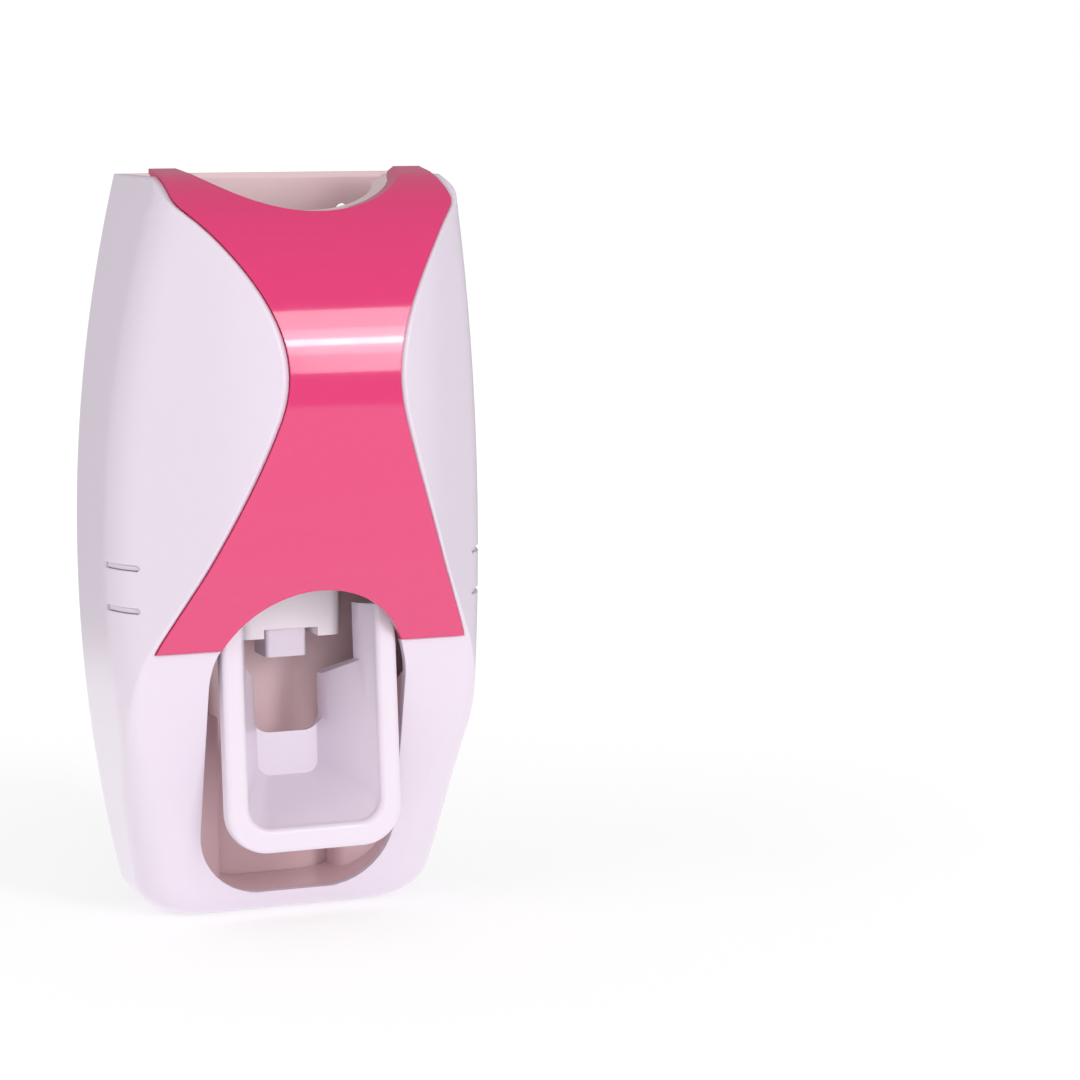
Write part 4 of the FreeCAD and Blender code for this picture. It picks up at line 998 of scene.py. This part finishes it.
@dataclass
class FrontShell:
    """White barrel shell with the panel recess, brush opening and snap slots, in millimetres."""

    form: BodyForm
    finish: Material
    panel: FrontPanel
    wall: float = 2.0
    proud: float = 0.5
    recess: float = 1.75
    rim_z: float = 163.4
    relief: float = 3.0
    lower_edge: float = 9.0
    lower_edge_z: float = 22.0
    least_edge: float = 0.3
    upper_edge: float = 1.6
    rim_edge: float = 0.5
    rim_fade: float = 15.0
    seat_gap: float = 0.15
    edge: float = 0.16
    edge_angle: float = 38.0
    sharp_margin: float = 0.05
    wall_margin: float = 0.1
    side_columns: int = 44
    edge_columns: int = 9
    front_columns: int = 16
    floor_columns: int = 6
    base_turns: tuple[int, ...] = tuple(range(0, 61, 6))
    corner_rows: int = 11
    arch_rows: int = 24
    scoop_rows: int = 26
    row_step: float = 2.0
    foot_step: float = 1.2
    slots_above_foot: tuple[float, float] = (9.3, 18.5)
    slot_tall: float = 1.3
    slot_reach: float = 24.0
    slot_corner: float = 0.3
    slot_y: tuple[float, float] = (-3.8, 6.4)

    def lower_y(self, z: float, inset: float) -> float:
        """Depth of the lower front, with its rounded bottom edge.

        Args:
            z: Height.
            inset: Wall left outside.

        Returns:
            The depth.
        """
        form = self.form
        radius = self.lower_edge
        centre_y = form.front_y(radius, self.proud + radius)
        flat = radius - (radius - inset) * math.sin(math.radians(form.lower_lean))
        if z >= flat:
            return form.front_y(z, self.proud + inset)
        return centre_y - math.sqrt(max((radius - inset) ** 2 - (radius - z) ** 2, 0.0))

    def edge_radius(self, z: float) -> float:
        """Radius between the side and the lower front, smaller towards the panel.

        Args:
            z: Height.

        Returns:
            The radius.
        """
        share = min(max((z - self.lower_edge_z) / (self.form.foot_z - self.lower_edge_z), 0.0), 1.0)
        smooth = share * share * (3 - 2 * share)
        return self.lower_edge + (self.upper_edge - self.lower_edge) * smooth

    def outline(self, z: float, y: float, inset: float, radius: float, end: float,
                brim: tuple[float, float] | None = None, hold: float = -math.inf) -> list[Point]:
        """One row of the shell, from the wall round the side and over the front.

        Args:
            z: Height of the row.
            y: Depth of the front.
            inset: Wall left outside.
            radius: Radius between side and front.
            end: Half width where the front ends.
            brim: Half width of the step beside the panel and depth of the front outside it, or None.
            hold: Depth that the evenly spaced side points don't pass.

        Returns:
            The row's points.
        """
        plan = self.form.plan(z, inset)
        number = np.arange(len(plan))
        reach = y
        if brim is not None and np.interp(-y, -plan[:, 1], plan[:, 0]) > brim[0]:
            reach = max(brim[1], float(np.interp(-brim[0], -plan[:, 0], plan[:, 1])))
        ball = plan[:, :2] - plan[:, 2:] * radius
        share = float(np.interp(-(reach + radius), -ball[:, 1], number))
        stop = float(np.interp(-hold, -plan[:, 1], number)) if math.isfinite(hold) else share
        side = self.resampled(plan[:, :2], min(share, stop))
        where = [np.interp(share, number, ball[:, i]) for i in (0, 1)]
        normal = [np.interp(share, number, plan[:, i]) for i in (2, 3)]
        first = math.atan2(normal[1], normal[0])
        turn = [(where[0] + radius * math.cos(a), where[1] + radius * math.sin(a))
                for a in np.linspace(first, -math.pi / 2, self.edge_columns)]
        corner = turn[-1][0]
        step = [(corner, reach), (corner, reach)]
        if reach < y - TINY and brim is not None:
            corner = min(brim[0], corner)
            step = [(corner, reach), (corner, y)]
        flat = [(x, y) for x in np.linspace(corner, end, self.front_columns)]
        return [(px, py, z) for px, py in (*side, *turn, *step, *flat)]

    def resampled(self, path: np.ndarray, share: float) -> list[tuple[float, float]]:
        """Even points along a path up to one place on it.

        Args:
            path: Points of the path.
            share: Place to stop at, in point numbers.

        Returns:
            The even points.
        """
        number = np.arange(len(path))
        stop = [np.interp(share, number, path[:, i]) for i in (0, 1)]
        kept = np.vstack((path[number < share], stop))
        run = np.concatenate(([0.0], np.cumsum(np.linalg.norm(np.diff(kept, axis=0), axis=1))))
        places = np.linspace(0.0, run[-1], self.side_columns)
        return list(zip(*(np.interp(places, run, kept[:, i]).tolist() for i in (0, 1))))

    def rows(self) -> tuple[list[list[Point]], list[list[Point]], list[float], int]:
        """Rows of the outer and inner faces.

        Returns:
            Outer rows, inner rows, where each front ends, and how many rows lie below the opening.
        """
        form = self.form
        outer: list[list[Point]] = []
        inner: list[list[Point]] = []
        ends: list[float] = []
        floor = form.opening_floor
        flat = form.opening_half - form.opening_corner
        base = [form.base_corner * (1 - math.cos(math.radians(a))) for a in self.base_turns]
        corner_z = floor + form.opening_corner
        corner = [corner_z - form.opening_corner * math.cos(math.radians(a))
                  for a in np.linspace(0, 90, self.corner_rows)[1:]]
        low = base + corner + spaced(corner_z, form.arch_z, self.row_step)[1:]
        low += spaced(form.arch_z, form.foot_z, self.foot_step)[1:]
        for z in low:
            end = flat if z <= floor + TINY else form.opening_x(z)
            deep = max(z, self.wall)
            radius = self.edge_radius(z)
            outer.append(self.outline(z, self.lower_y(z, 0.0), 0.0, radius, end))
            inner.append(self.outline(deep, self.lower_y(deep, self.wall), self.wall,
                                      max(radius - self.wall, self.least_edge), end,
                                      hold=form.front_y(deep, self.recess + self.wall)))
            ends.append(end)
        face_y, face_z = form.profile(self.recess)
        back_y, back_z = form.profile(self.recess + self.wall)
        high = form.arch_heights(form.foot_z, self.relief, self.arch_rows)
        high += spaced(high[-1], form.height - form.scoop_drop, self.row_step)[1:]
        high += form.scoop_heights(self.rim_z, self.scoop_rows)[1:]
        rear = float(face_y[-1])
        for z in high:
            end = max(form.arch_x(z, self.relief), form.scoop_x(z))
            y = float(np.interp(z, face_z, face_y)) if z < face_z[-1] else rear
            y_back = float(np.interp(z, back_z, back_y)) if z < back_z[-1] else rear
            brim = (self.panel.edge_x(z) + self.seat_gap, form.front_y(z, self.proud))
            fade = min((z - form.foot_z) / self.rim_fade, 1.0)
            radius = self.upper_edge + (self.rim_edge - self.upper_edge) * fade
            outer.append(self.outline(z, y, 0.0, radius, end, brim))
            inner.append(self.outline(z, max(y_back, y), self.wall, 0.0, end))
            ends.append(end)
        return outer, inner, ends, len(base)

    def build(self) -> Piece:
        """Build the shell.

        Returns:
            The finished piece.
        """
        outer, inner, ends, below = self.rows()
        skin = Skin()
        faces = [skin.grid(outer), skin.grid(inner)]
        skin.cover(faces[0])
        # inner faces take the painted inner shade
        skin.cover(faces[1], inner=True)
        rear = [[row[0] for row in grid] for grid in faces]
        skin.strip(rear[0], rear[1])
        skin.strip(faces[0][-1], faces[1][-1])
        # faces round the opening above the panel's foot take the painted inner shade
        for index in range(below - 1, len(ends) - 1):
            if max(ends[index], ends[index + 1]) > TINY:
                a, b = faces[0][index][-1], faces[0][index + 1][-1]
                c, d = faces[1][index + 1][-1], faces[1][index][-1]
                skin.face((a, b, c, d), inner=outer[index][-1][2] > self.form.foot_z)
        middle = []
        # the ledge's inner faces take the painted inner shade
        for rows in (outer, inner):
            ledge = [[(x, row[-1][1], row[-1][2]) for x in np.linspace(row[-1][0], 0.0, self.floor_columns)]
                     for row in rows[:below]]
            numbers = skin.grid(ledge)
            skin.cover(numbers, inner=rows is inner)
            middle.append(numbers)
        skin.strip(middle[0][-1], middle[1][-1])
        half = len(skin.points)
        skin.mirrored()
        bottoms = []
        for grid, ledge in zip(faces, middle):
            right = grid[0] + ledge[0]
            ring = right + [half + i for i in reversed(right)]
            places: dict[tuple[float, ...], int] = {}
            for i in ring:
                places.setdefault(tuple(round(c, 7) for c in skin.points[i]), i)
            skin.face(tuple(places.values()))
            bottoms.append(grid[0][0])
        skin.face((bottoms[0], half + bottoms[0], half + bottoms[1], bottoms[1]))
        piece = Maker.piece("shell", Maker.closed_mesh("shell", skin.points, skin.faces, skin.inner))
        room = (self.form.foot_z - self.sharp_margin, self.rim_z - self.sharp_margin,
                self.form.half_depth - self.wall_margin)
        Maker.bevelled(piece, self.edge, self.edge_angle, room)
        self.cut_slots(piece)
        Maker.smoothed(piece)
        return Maker.dressed(piece, self.finish, Slot.SHELL, Body.HOUSING, "front_housing")

    def cut_slots(self, piece: Piece) -> None:
        """Cut the snap slots through both sides.

        Args:
            piece: Shell to cut.
        """
        form = self.form
        middle, long = sum(self.slot_y) / 2, self.slot_y[1] - self.slot_y[0]
        cutter = bmesh.new()
        for above in self.slots_above_foot:
            z = form.foot_z + above
            for side in (1, -1):
                made = bmesh.ops.create_cube(cutter, size=1.0)
                for corner in made["verts"]:
                    corner.co.x = (side * form.half_width + corner.co.x * self.slot_reach) * MM
                    corner.co.y = (middle + corner.co.y * long) * MM
                    corner.co.z = (z + corner.co.z * self.slot_tall) * MM
        bmesh.ops.bevel(cutter, geom=list(cutter.edges), offset=self.slot_corner * MM, segments=2,
                        affect="EDGES")
        mesh = bpy.data.meshes.new("slot_cutter")
        cutter.to_mesh(mesh)
        cutter.free()
        tool = Maker.piece("slot_cutter", mesh)
        cut = piece.modifiers.new("slots", "BOOLEAN")
        cut.operation = "DIFFERENCE"
        cut.solver = "EXACT"
        cut.object = tool
        Maker.applied(piece)
        bpy.data.objects.remove(tool)


# ---------------------------------------------------------------- repeats

class RuleTree:
    """Geometry Nodes tree built in code, with named inputs."""

    def __init__(self, name: str) -> None:
        """Start a tree with a geometry input and output.

        Args:
            name: Name of the tree.
        """
        self.tree = bpy.data.node_groups.new(name, "GeometryNodeTree")
        self.tree.interface.new_socket("Geometry", in_out="INPUT", socket_type="NodeSocketGeometry")
        self.tree.interface.new_socket("Geometry", in_out="OUTPUT", socket_type="NodeSocketGeometry")
        self.start = self.tree.nodes.new("NodeGroupInput")
        self.end = self.tree.nodes.new("NodeGroupOutput")
        self.values: dict[str, Any] = {}

    def size(self, name: str, value: float, whole: bool = False) -> Socket:
        """Add a named input.

        Args:
            name: Name of the input.
            value: Its value.
            whole: Whether it is a whole number.

        Returns:
            The input's socket in the tree.
        """
        kind = "NodeSocketInt" if whole else "NodeSocketFloat"
        socket = self.tree.interface.new_socket(name, in_out="INPUT", socket_type=kind)
        self.values[socket.identifier] = int(value) if whole else float(value)
        return self.start.outputs[name]

    def add(self, kind: str, links: dict[str, Any] | None = None, **settings: Any) -> Node:
        """Add one node.

        Args:
            kind: Node type.
            links: Input name to a socket to link or a value to set.
            settings: Node properties.

        Returns:
            The new node.
        """
        node = self.tree.nodes.new(kind)
        for key, value in settings.items():
            setattr(node, key, value)
        for key, value in (links or {}).items():
            socket = next(s for s in node.inputs if s.name == key and s.enabled)
            if isinstance(value, Socket):
                self.tree.links.new(value, socket)
            else:
                socket.default_value = value
        return node

    def scaled(self, value: Socket, factor: float) -> Socket:
        """Multiply a value.

        Args:
            value: Value to multiply.
            factor: Its factor.

        Returns:
            The product.
        """
        product = self.add("ShaderNodeMath", operation="MULTIPLY")
        self.tree.links.new(value, product.inputs[0])
        product.inputs[1].default_value = factor
        return product.outputs[0]

    def raised(self, shape: Node, height: Socket) -> Node:
        """Move a shape up by a height.

        Args:
            shape: Node that makes the shape.
            height: How far up.

        Returns:
            The node that moves it.
        """
        way = self.add("ShaderNodeCombineXYZ", {"Z": height})
        return self.add("GeometryNodeTransform", {"Geometry": shape.outputs[0],
                                                  "Translation": way.outputs[0]})

    def gathered(self, kind: str, parts: Sequence[Socket], socket: str,
                 **settings: Any) -> Node:
        """Add a node that takes several shapes at one input.

        Args:
            kind: Node type.
            parts: Shapes to link, in order.
            socket: Name of the input.
            settings: Node properties.

        Returns:
            The new node.
        """
        node = self.add(kind, **settings)
        for part in parts:
            self.tree.links.new(part, node.inputs[socket])
        return node

    def finished(self, shape: Socket, finish: Material) -> None:
        """Realize the instances, set the material and end the tree.

        Args:
            shape: Geometry to end with.
            finish: Its material.
        """
        real = self.add("GeometryNodeRealizeInstances", {"Geometry": shape})
        coat = self.add("GeometryNodeSetMaterial", {"Geometry": real.outputs[0], "Material": finish})
        self.tree.links.new(coat.outputs[0], self.end.inputs[0])

    def grown(self, piece: Piece) -> Piece:
        """Run the tree on a piece and keep the result as its mesh.

        Args:
            piece: Piece that holds the tree's starting points.

        Returns:
            The same piece, as a plain mesh.
        """
        grow = piece.modifiers.new("rule", "NODES")
        grow.node_group = self.tree
        for key, value in self.values.items():
            grow[key] = value
        return Maker.applied(piece)


@dataclass
class ScrewSet:
    """Cross-head screws, one at each place of a node's screws."""

    node: str
    finish: Material
    head_radius: float = 2.4
    head: float = 1.6
    shank_radius: float = 1.2
    length: float = 6.0
    recess: float = 0.55
    head_up: bool = True
    seed: int = 7
    crown_share: float = 0.78
    head_sides: int = 40
    shank_sides: int = 24
    apart: float = 3.0
    near: float = 2.2

    def places(self) -> list[Point]:
        """Middle of each screw's head, read from the node's solids.

        Returns:
            Points in metres, under the head.
        """
        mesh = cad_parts[self.node].data
        points = np.array([v.co for v in mesh.vertices])
        found: list[np.ndarray] = []
        for point in points:
            if not any(np.hypot(*(point[:2] - kept)) < self.apart * self.head_radius * MM for kept in found):
                found.append(point[:2])
        places = []
        for near in found:
            away = np.hypot(points[:, 0] - near[0], points[:, 1] - near[1])
            mine = points[away < self.near * self.head_radius * MM]
            low, high = mine.min(axis=0), mine.max(axis=0)
            z = high[2] - self.head * MM if self.head_up else low[2] + self.head * MM
            places.append(((low[0] + high[0]) / 2, (low[1] + high[1]) / 2, z))
        return places

    def build(self) -> Piece:
        """Build the screws.

        Returns:
            The finished piece.
        """
        mesh = bpy.data.meshes.new(self.node + "_places")
        mesh.from_pydata(self.places(), [], [])
        piece = Maker.piece(self.node + "_set", mesh)
        rule = RuleTree("screw_rule")
        radius = rule.size("Head Radius", self.head_radius * MM)
        head = rule.size("Head Height", self.head * MM)
        shank_radius = rule.size("Shank Radius", self.shank_radius * MM)
        length = rule.size("Shank Length", self.length * MM)
        recess = rule.size("Recess Width", self.recess * MM)
        seed = rule.size("Seed", self.seed, whole=True)
        half = rule.scaled(head, 0.5)
        rim = rule.add("GeometryNodeMeshCylinder", {"Vertices": self.head_sides, "Radius": radius,
                                                    "Depth": half})
        crown = rule.scaled(radius, self.crown_share)
        dome = rule.add("GeometryNodeMeshCone", {"Vertices": self.head_sides, "Radius Top": crown,
                                                 "Radius Bottom": radius, "Depth": half})
        rim_up, dome_up = rule.raised(rim, rule.scaled(head, 0.25)), rule.raised(dome, half)
        bar = rule.add("ShaderNodeCombineXYZ", {"X": recess, "Y": radius, "Z": head})
        slot_a = rule.raised(rule.add("GeometryNodeMeshCube", {"Size": bar.outputs[0]}), head)
        slot_b = rule.add("GeometryNodeTransform", {"Geometry": slot_a.outputs[0],
                                                    "Rotation": (0.0, 0.0, math.pi / 2)})
        solid = rule.gathered("GeometryNodeMeshBoolean", (rim_up.outputs[0], dome_up.outputs[0]), "Mesh 2",
                              operation="UNION")
        cut = rule.gathered("GeometryNodeMeshBoolean", (slot_a.outputs[0], slot_b.outputs[0]), "Mesh 2",
                            operation="DIFFERENCE")
        rule.tree.links.new(solid.outputs[0], cut.inputs["Mesh 1"])
        shank = rule.add("GeometryNodeMeshCylinder", {"Vertices": self.shank_sides, "Radius": shank_radius,
                                                      "Depth": length})
        shank_down = rule.raised(shank, rule.scaled(length, -0.5))
        whole = rule.gathered("GeometryNodeJoinGeometry", (cut.outputs[0], shank_down.outputs[0]), "Geometry")
        turned = rule.add("FunctionNodeRandomValue", {"Seed": seed, "Max": math.pi}, data_type="FLOAT")
        spin = rule.add("ShaderNodeCombineXYZ", {"X": 0.0 if self.head_up else math.pi})
        value = next(s for s in turned.outputs if s.enabled)
        rule.tree.links.new(value, spin.inputs["Z"])
        spread = rule.add("GeometryNodeInstanceOnPoints", {"Points": rule.start.outputs[0],
                                                           "Instance": whole.outputs[0]})
        rule.tree.links.new(spin.outputs[0], spread.inputs["Rotation"])
        rule.finished(spread.outputs[0], self.finish)
        rule.grown(piece)
        Maker.smoothed(piece)
        return Maker.dressed(piece, self.finish, Slot.STEEL, Body.HOUSING, self.node)


@dataclass
class ReturnSpring:
    """Wire coil behind the crosshead, wound along the piston's axis."""

    finish: Material
    wire: float = 0.45
    turns: float = 3.5
    keep: float = 0.62
    turn_steps: int = 48
    wire_sides: int = 14

    def build(self) -> Piece:
        """Build the spring.

        Returns:
            The finished piece.
        """
        low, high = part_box("return_spring")
        mesh = bpy.data.meshes.new("spring_seat")
        mesh.from_pydata([(0.0, 0.0, 0.0)], [], [])
        piece = Maker.piece("return_coil", mesh)
        rule = RuleTree("coil_rule")
        wire = rule.size("Wire Radius", self.wire * MM)
        turns = rule.size("Turns", self.turns)
        radius = rule.size("Coil Radius", (high.x - low.x) / 2 - self.wire * MM)
        length = rule.size("Coil Length", high.y - low.y - 2 * self.wire * MM)
        coil = rule.add("GeometryNodeCurveSpiral", {"Resolution": self.turn_steps, "Rotations": turns,
                                                    "Start Radius": radius, "End Radius": radius,
                                                    "Height": length})
        ring = rule.add("GeometryNodeCurvePrimitiveCircle", {"Resolution": self.wire_sides, "Radius": wire})
        tube = rule.add("GeometryNodeCurveToMesh", {"Curve": coil.outputs[0], "Fill Caps": True,
                                                    "Profile Curve": ring.outputs[0]})
        place = (0.0, low.y + self.wire * MM, (low.z + high.z) / 2)
        laid = rule.add("GeometryNodeTransform", {"Geometry": tube.outputs[0], "Translation": place,
                                                  "Rotation": (-math.pi / 2, 0.0, 0.0)})
        smooth = rule.add("GeometryNodeSetShadeSmooth", {"Geometry": laid.outputs[0], "Shade Smooth": True})
        rule.finished(smooth.outputs[0], self.finish)
        rule.grown(piece)
        Maker.dressed(piece, self.finish, Slot.STEEL, Body.HOUSING, "return_spring")
        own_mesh(piece)
        return piece


@dataclass
class GripCollar:
    """Clamp ring of the tube seat, with upright grips round it."""

    finish: Material
    grips: int = 16
    grip_radius: float = 0.8
    grip_sides: int = 18
    end_room: float = 0.3

    def build(self) -> Piece:
        """Build the collar.

        Returns:
            The finished piece.
        """
        low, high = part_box("tube_collar")
        centre = (low + high) / 2
        piece = Maker.copied("tube_collar")
        piece.name = "grip_collar"
        rule = RuleTree("grip_rule")
        count = rule.size("Grips", self.grips, whole=True)
        radius = rule.size("Ring Radius", (high.x - low.x) / 2 - self.grip_radius * MM)
        bar = rule.size("Grip Radius", self.grip_radius * MM)
        tall = rule.size("Grip Height", (high.z - low.z) - 2 * self.end_room * MM)
        ring = rule.add("GeometryNodeMeshCircle", {"Vertices": count, "Radius": radius})
        seats = rule.add("GeometryNodeTransform", {"Geometry": ring.outputs[0], "Translation": tuple(centre)})
        grip = rule.add("GeometryNodeMeshCylinder", {"Vertices": self.grip_sides, "Radius": bar,
                                                     "Depth": tall})
        spread = rule.add("GeometryNodeInstanceOnPoints", {"Points": seats.outputs[0],
                                                           "Instance": grip.outputs[0]})
        whole = rule.gathered("GeometryNodeJoinGeometry", (spread.outputs[0], rule.start.outputs[0]),
                              "Geometry")
        rule.finished(whole.outputs[0], self.finish)
        rule.grown(piece)
        Maker.smoothed(piece)
        return Maker.dressed(piece, self.finish, Slot.PUMP, Body.HOUSING, "tube_collar")


# ---------------------------------------------------------------- other mouldings

@dataclass
class Mouldings:
    """Pieces whose solids already have their shape: merged, smoothed and dressed."""

    finishes: Finishes

    def build(self) -> list[Piece]:
        """Build the copies.

        Returns:
            The finished pieces.
        """
        look = self.finishes
        rows = (
            ("push_lever", look.lever, Slot.LEVER, Body.LEVER),
            ("nozzle", look.lever, Slot.LEVER, Body.HOUSING),
            # the shroud's finish is painted light, lighter than the lever's white
            ("pump_shroud", look.shroud, Slot.LEVER, Body.HOUSING),
            # these three take the painted shade finish
            ("drip_bowl", look.inside, Slot.SHELL, Body.HOUSING),
            ("rear_cover", look.inside, Slot.SHELL, Body.HOUSING),
            ("pump_deck", look.inside, Slot.SHELL, Body.HOUSING),
            ("pump_body", look.pump, Slot.PUMP, Body.HOUSING),
            ("gland_cap", look.pump, Slot.PUMP, Body.HOUSING),
            ("piston", look.pump, Slot.PUMP, Body.PLUNGER),
            ("tube_seal", look.seal, Slot.SEAL, Body.HOUSING),
            ("inlet_valve", look.seal, Slot.SEAL, Body.HOUSING),
            ("outlet_valve", look.seal, Slot.SEAL, Body.HOUSING),
            ("piston_seals", look.seal, Slot.SEAL, Body.PLUNGER),
            ("cross_pin", look.steel, Slot.STEEL, Body.PLUNGER),
            ("pivot_pins", look.steel, Slot.STEEL, Body.HOUSING),
            ("pivot_clips", look.steel, Slot.STEEL, Body.HOUSING),
        )
        return [Maker.dressed(Maker.copied(node), finish, slot, body, node)
                for node, finish, slot, body in rows]


# ---------------------------------------------------------------- studio

@dataclass
class Softbox:
    """One soft lamp that faces a point on the object."""

    name: str
    azimuth: float
    elevation: float
    distance: float
    size: tuple[float, float]
    power: float
    target: Point = (0.0, -0.02, 0.09)
    mirrored: bool = True

    def build(self) -> Piece:
        """Place the lamp.

        Returns:
            The lamp.
        """
        lamp = bpy.data.lights.new(self.name, "AREA")
        lamp.shape = "RECTANGLE"
        lamp.size, lamp.size_y = self.size
        lamp.energy = self.power
        made = bpy.data.objects.new(self.name, lamp)
        made.visible_glossy = self.mirrored
        a, e = math.radians(self.azimuth), math.radians(self.elevation)
        back = Vector((math.sin(a) * math.cos(e), -math.cos(a) * math.cos(e), math.sin(e)))
        made.location = Vector(self.target) + back * self.distance
        made.rotation_euler = (-back).to_track_quat("-Z", "Y").to_euler()
        bpy.context.scene.collection.objects.link(made)
        return made


@dataclass
class Studio:
    """White floor and surroundings, soft lamps and the camera."""

    ambient: float = 0.51
    mirrored: float = 0.3
    floor_glow: float = 0.26
    floor_half: float = 6.0
    floor_grey: float = 0.9
    camera_at: Point = (-0.2236, -0.6905, 0.1847)
    camera_turn: Point = (82.15, 0.0, -22.0)
    lens: float = 112.4
    sensor: float = 36.0
    clip: tuple[float, float] = (0.01, 50.0)
    lamps: tuple[Softbox, ...] = (
        Softbox("key_softbox", 22.0, 14.5, 1.25, (0.24, 0.80), 3.3, target=(0.0, -0.025, 0.131)),
        Softbox("key_middle", 22.0, 14.2, 1.22, (0.24, 0.30), 0.6, target=(0.0, -0.025, 0.131)),
        Softbox("key_core", 22.0, 14.0, 1.20, (0.24, 0.07), 0.6, target=(0.0, -0.025, 0.131)),
        Softbox("front_fill", -14.0, 10.0, 1.4, (0.8, 0.8), 2.5, mirrored=False),
        Softbox("left_fill", -75.0, 25.0, 1.3, (0.9, 0.9), 3.0, mirrored=False),
        Softbox("top_fill", 0.0, 80.0, 1.2, (1.0, 1.0), 1.9, mirrored=False),
    )
    sheet_reach: tuple[float, float] = (0.30, 0.345)
    sheet_gloss: float = 1.25
    card_share: float = 0.4
    card_near: float = 1.03
    card_far: float = 1.5
    shadow_reach: tuple[float, float] = (0.12, 0.6)

    def build(self) -> None:
        """Build the studio."""
        scene = bpy.context.scene
        scene.view_settings.view_transform = "Standard"
        self.surroundings(scene)
        self.floor()
        for lamp in self.lamps:
            lamp.build()
        lens = bpy.data.cameras.new("camera")
        lens.lens = self.lens
        lens.sensor_width = self.sensor
        lens.clip_start, lens.clip_end = self.clip
        camera = bpy.data.objects.new("camera", lens)
        camera.location = self.camera_at
        camera.rotation_euler = [math.radians(a) for a in self.camera_turn]
        scene.collection.objects.link(camera)
        scene.camera = camera

    def surroundings(self, scene: bpy.types.Scene) -> None:
        """White seen directly and in gloss, softer as light.

        Args:
            scene: Scene that gets the world.
        """
        world = bpy.data.worlds.new("white_room")
        world.use_nodes = True
        nodes, links = world.node_tree.nodes, world.node_tree.links
        nodes.clear()
        path = nodes.new("ShaderNodeLightPath")
        last = None
        rays = ((None, self.ambient), ("Is Glossy Ray", self.mirrored), ("Is Transmission Ray", 1.0),
                ("Is Camera Ray", 1.0))
        for ray, strength in rays:
            light = nodes.new("ShaderNodeBackground")
            light.inputs["Color"].default_value = (1.0, 1.0, 1.0, 1.0)
            light.inputs["Strength"].default_value = strength
            if ray is None:
                last = light
                continue
            mix = nodes.new("ShaderNodeMixShader")
            links.new(path.outputs[ray], mix.inputs[0])
            links.new(last.outputs[0], mix.inputs[1])
            links.new(light.outputs[0], mix.inputs[2])
            last = mix
        links.new(last.outputs[0], nodes.new("ShaderNodeOutputWorld").inputs[0])
        scene.world = world

    def floor(self) -> Piece:
        """Pale floor that keeps a faint shadow.

        Returns:
            The floor.
        """
        half = self.floor_half
        mesh = bpy.data.meshes.new("floor")
        corners = [(-half, -half, 0), (half, -half, 0), (half, half, 0), (-half, half, 0)]
        mesh.from_pydata(corners, [], [(0, 1, 2, 3)])
        made = Maker.piece("floor", mesh)
        shade = Shading("pale_floor")
        path = shade.add("LightPath")
        where = shade.add("TexCoord")
        reach = shade.add("VectorMath", operation="LENGTH")
        shade.link(where.outputs["Object"], reach.inputs[0])
        paper = shade.add("BsdfDiffuse", Color=(self.floor_grey, self.floor_grey, self.floor_grey, 1.0))
        lit = shade.add("Emission", Strength=self.floor_glow)
        card = shade.add("AddShader")
        shade.link(paper.outputs[0], card.inputs[0])
        shade.link(lit.outputs[0], card.inputs[1])
        glow, gloss = shade.add("Emission"), shade.add("Emission")
        fade = shade.ranged(reach.outputs["Value"], self.card_near, self.card_far, self.shadow_reach)
        shade.link(fade, glow.inputs["Strength"])
        sheet = shade.ranged(reach.outputs["Value"], self.sheet_gloss, self.mirrored, self.sheet_reach)
        shade.link(sheet, gloss.inputs["Strength"])
        share = shade.add("Math", operation="MULTIPLY")
        share.inputs[1].default_value = self.card_share
        shade.link(path.outputs["Is Camera Ray"], share.inputs[0])
        seen = shade.either(share.outputs[0], card.outputs[0], glow.outputs[0])
        whole = shade.either(path.outputs["Is Glossy Ray"], seen, gloss.outputs[0])
        made.data.materials.append(shade.closed(whole))
        return made


def main() -> None:
    logging.basicConfig(level=logging.INFO, format="%(name)s: %(message)s")
    finishes = Finishes.made()
    form = BodyForm()
    panel = FrontPanel(form, finishes.panel)
    panel.build()
    FrontShell(form, finishes.shell, panel).build()
    Mouldings(finishes).build()
    GripCollar(finishes.pump).build()
    ScrewSet("deck_screws", finishes.steel).build()
    ScrewSet("pump_screws", finishes.steel, seed=11).build()
    ScrewSet("shroud_screws", finishes.steel, head_up=False, seed=3).build()
    ReturnSpring(finishes.steel).build()
    Studio().build()
    bpy.context.view_layer.update()


if __name__ == "__main__":
    main()
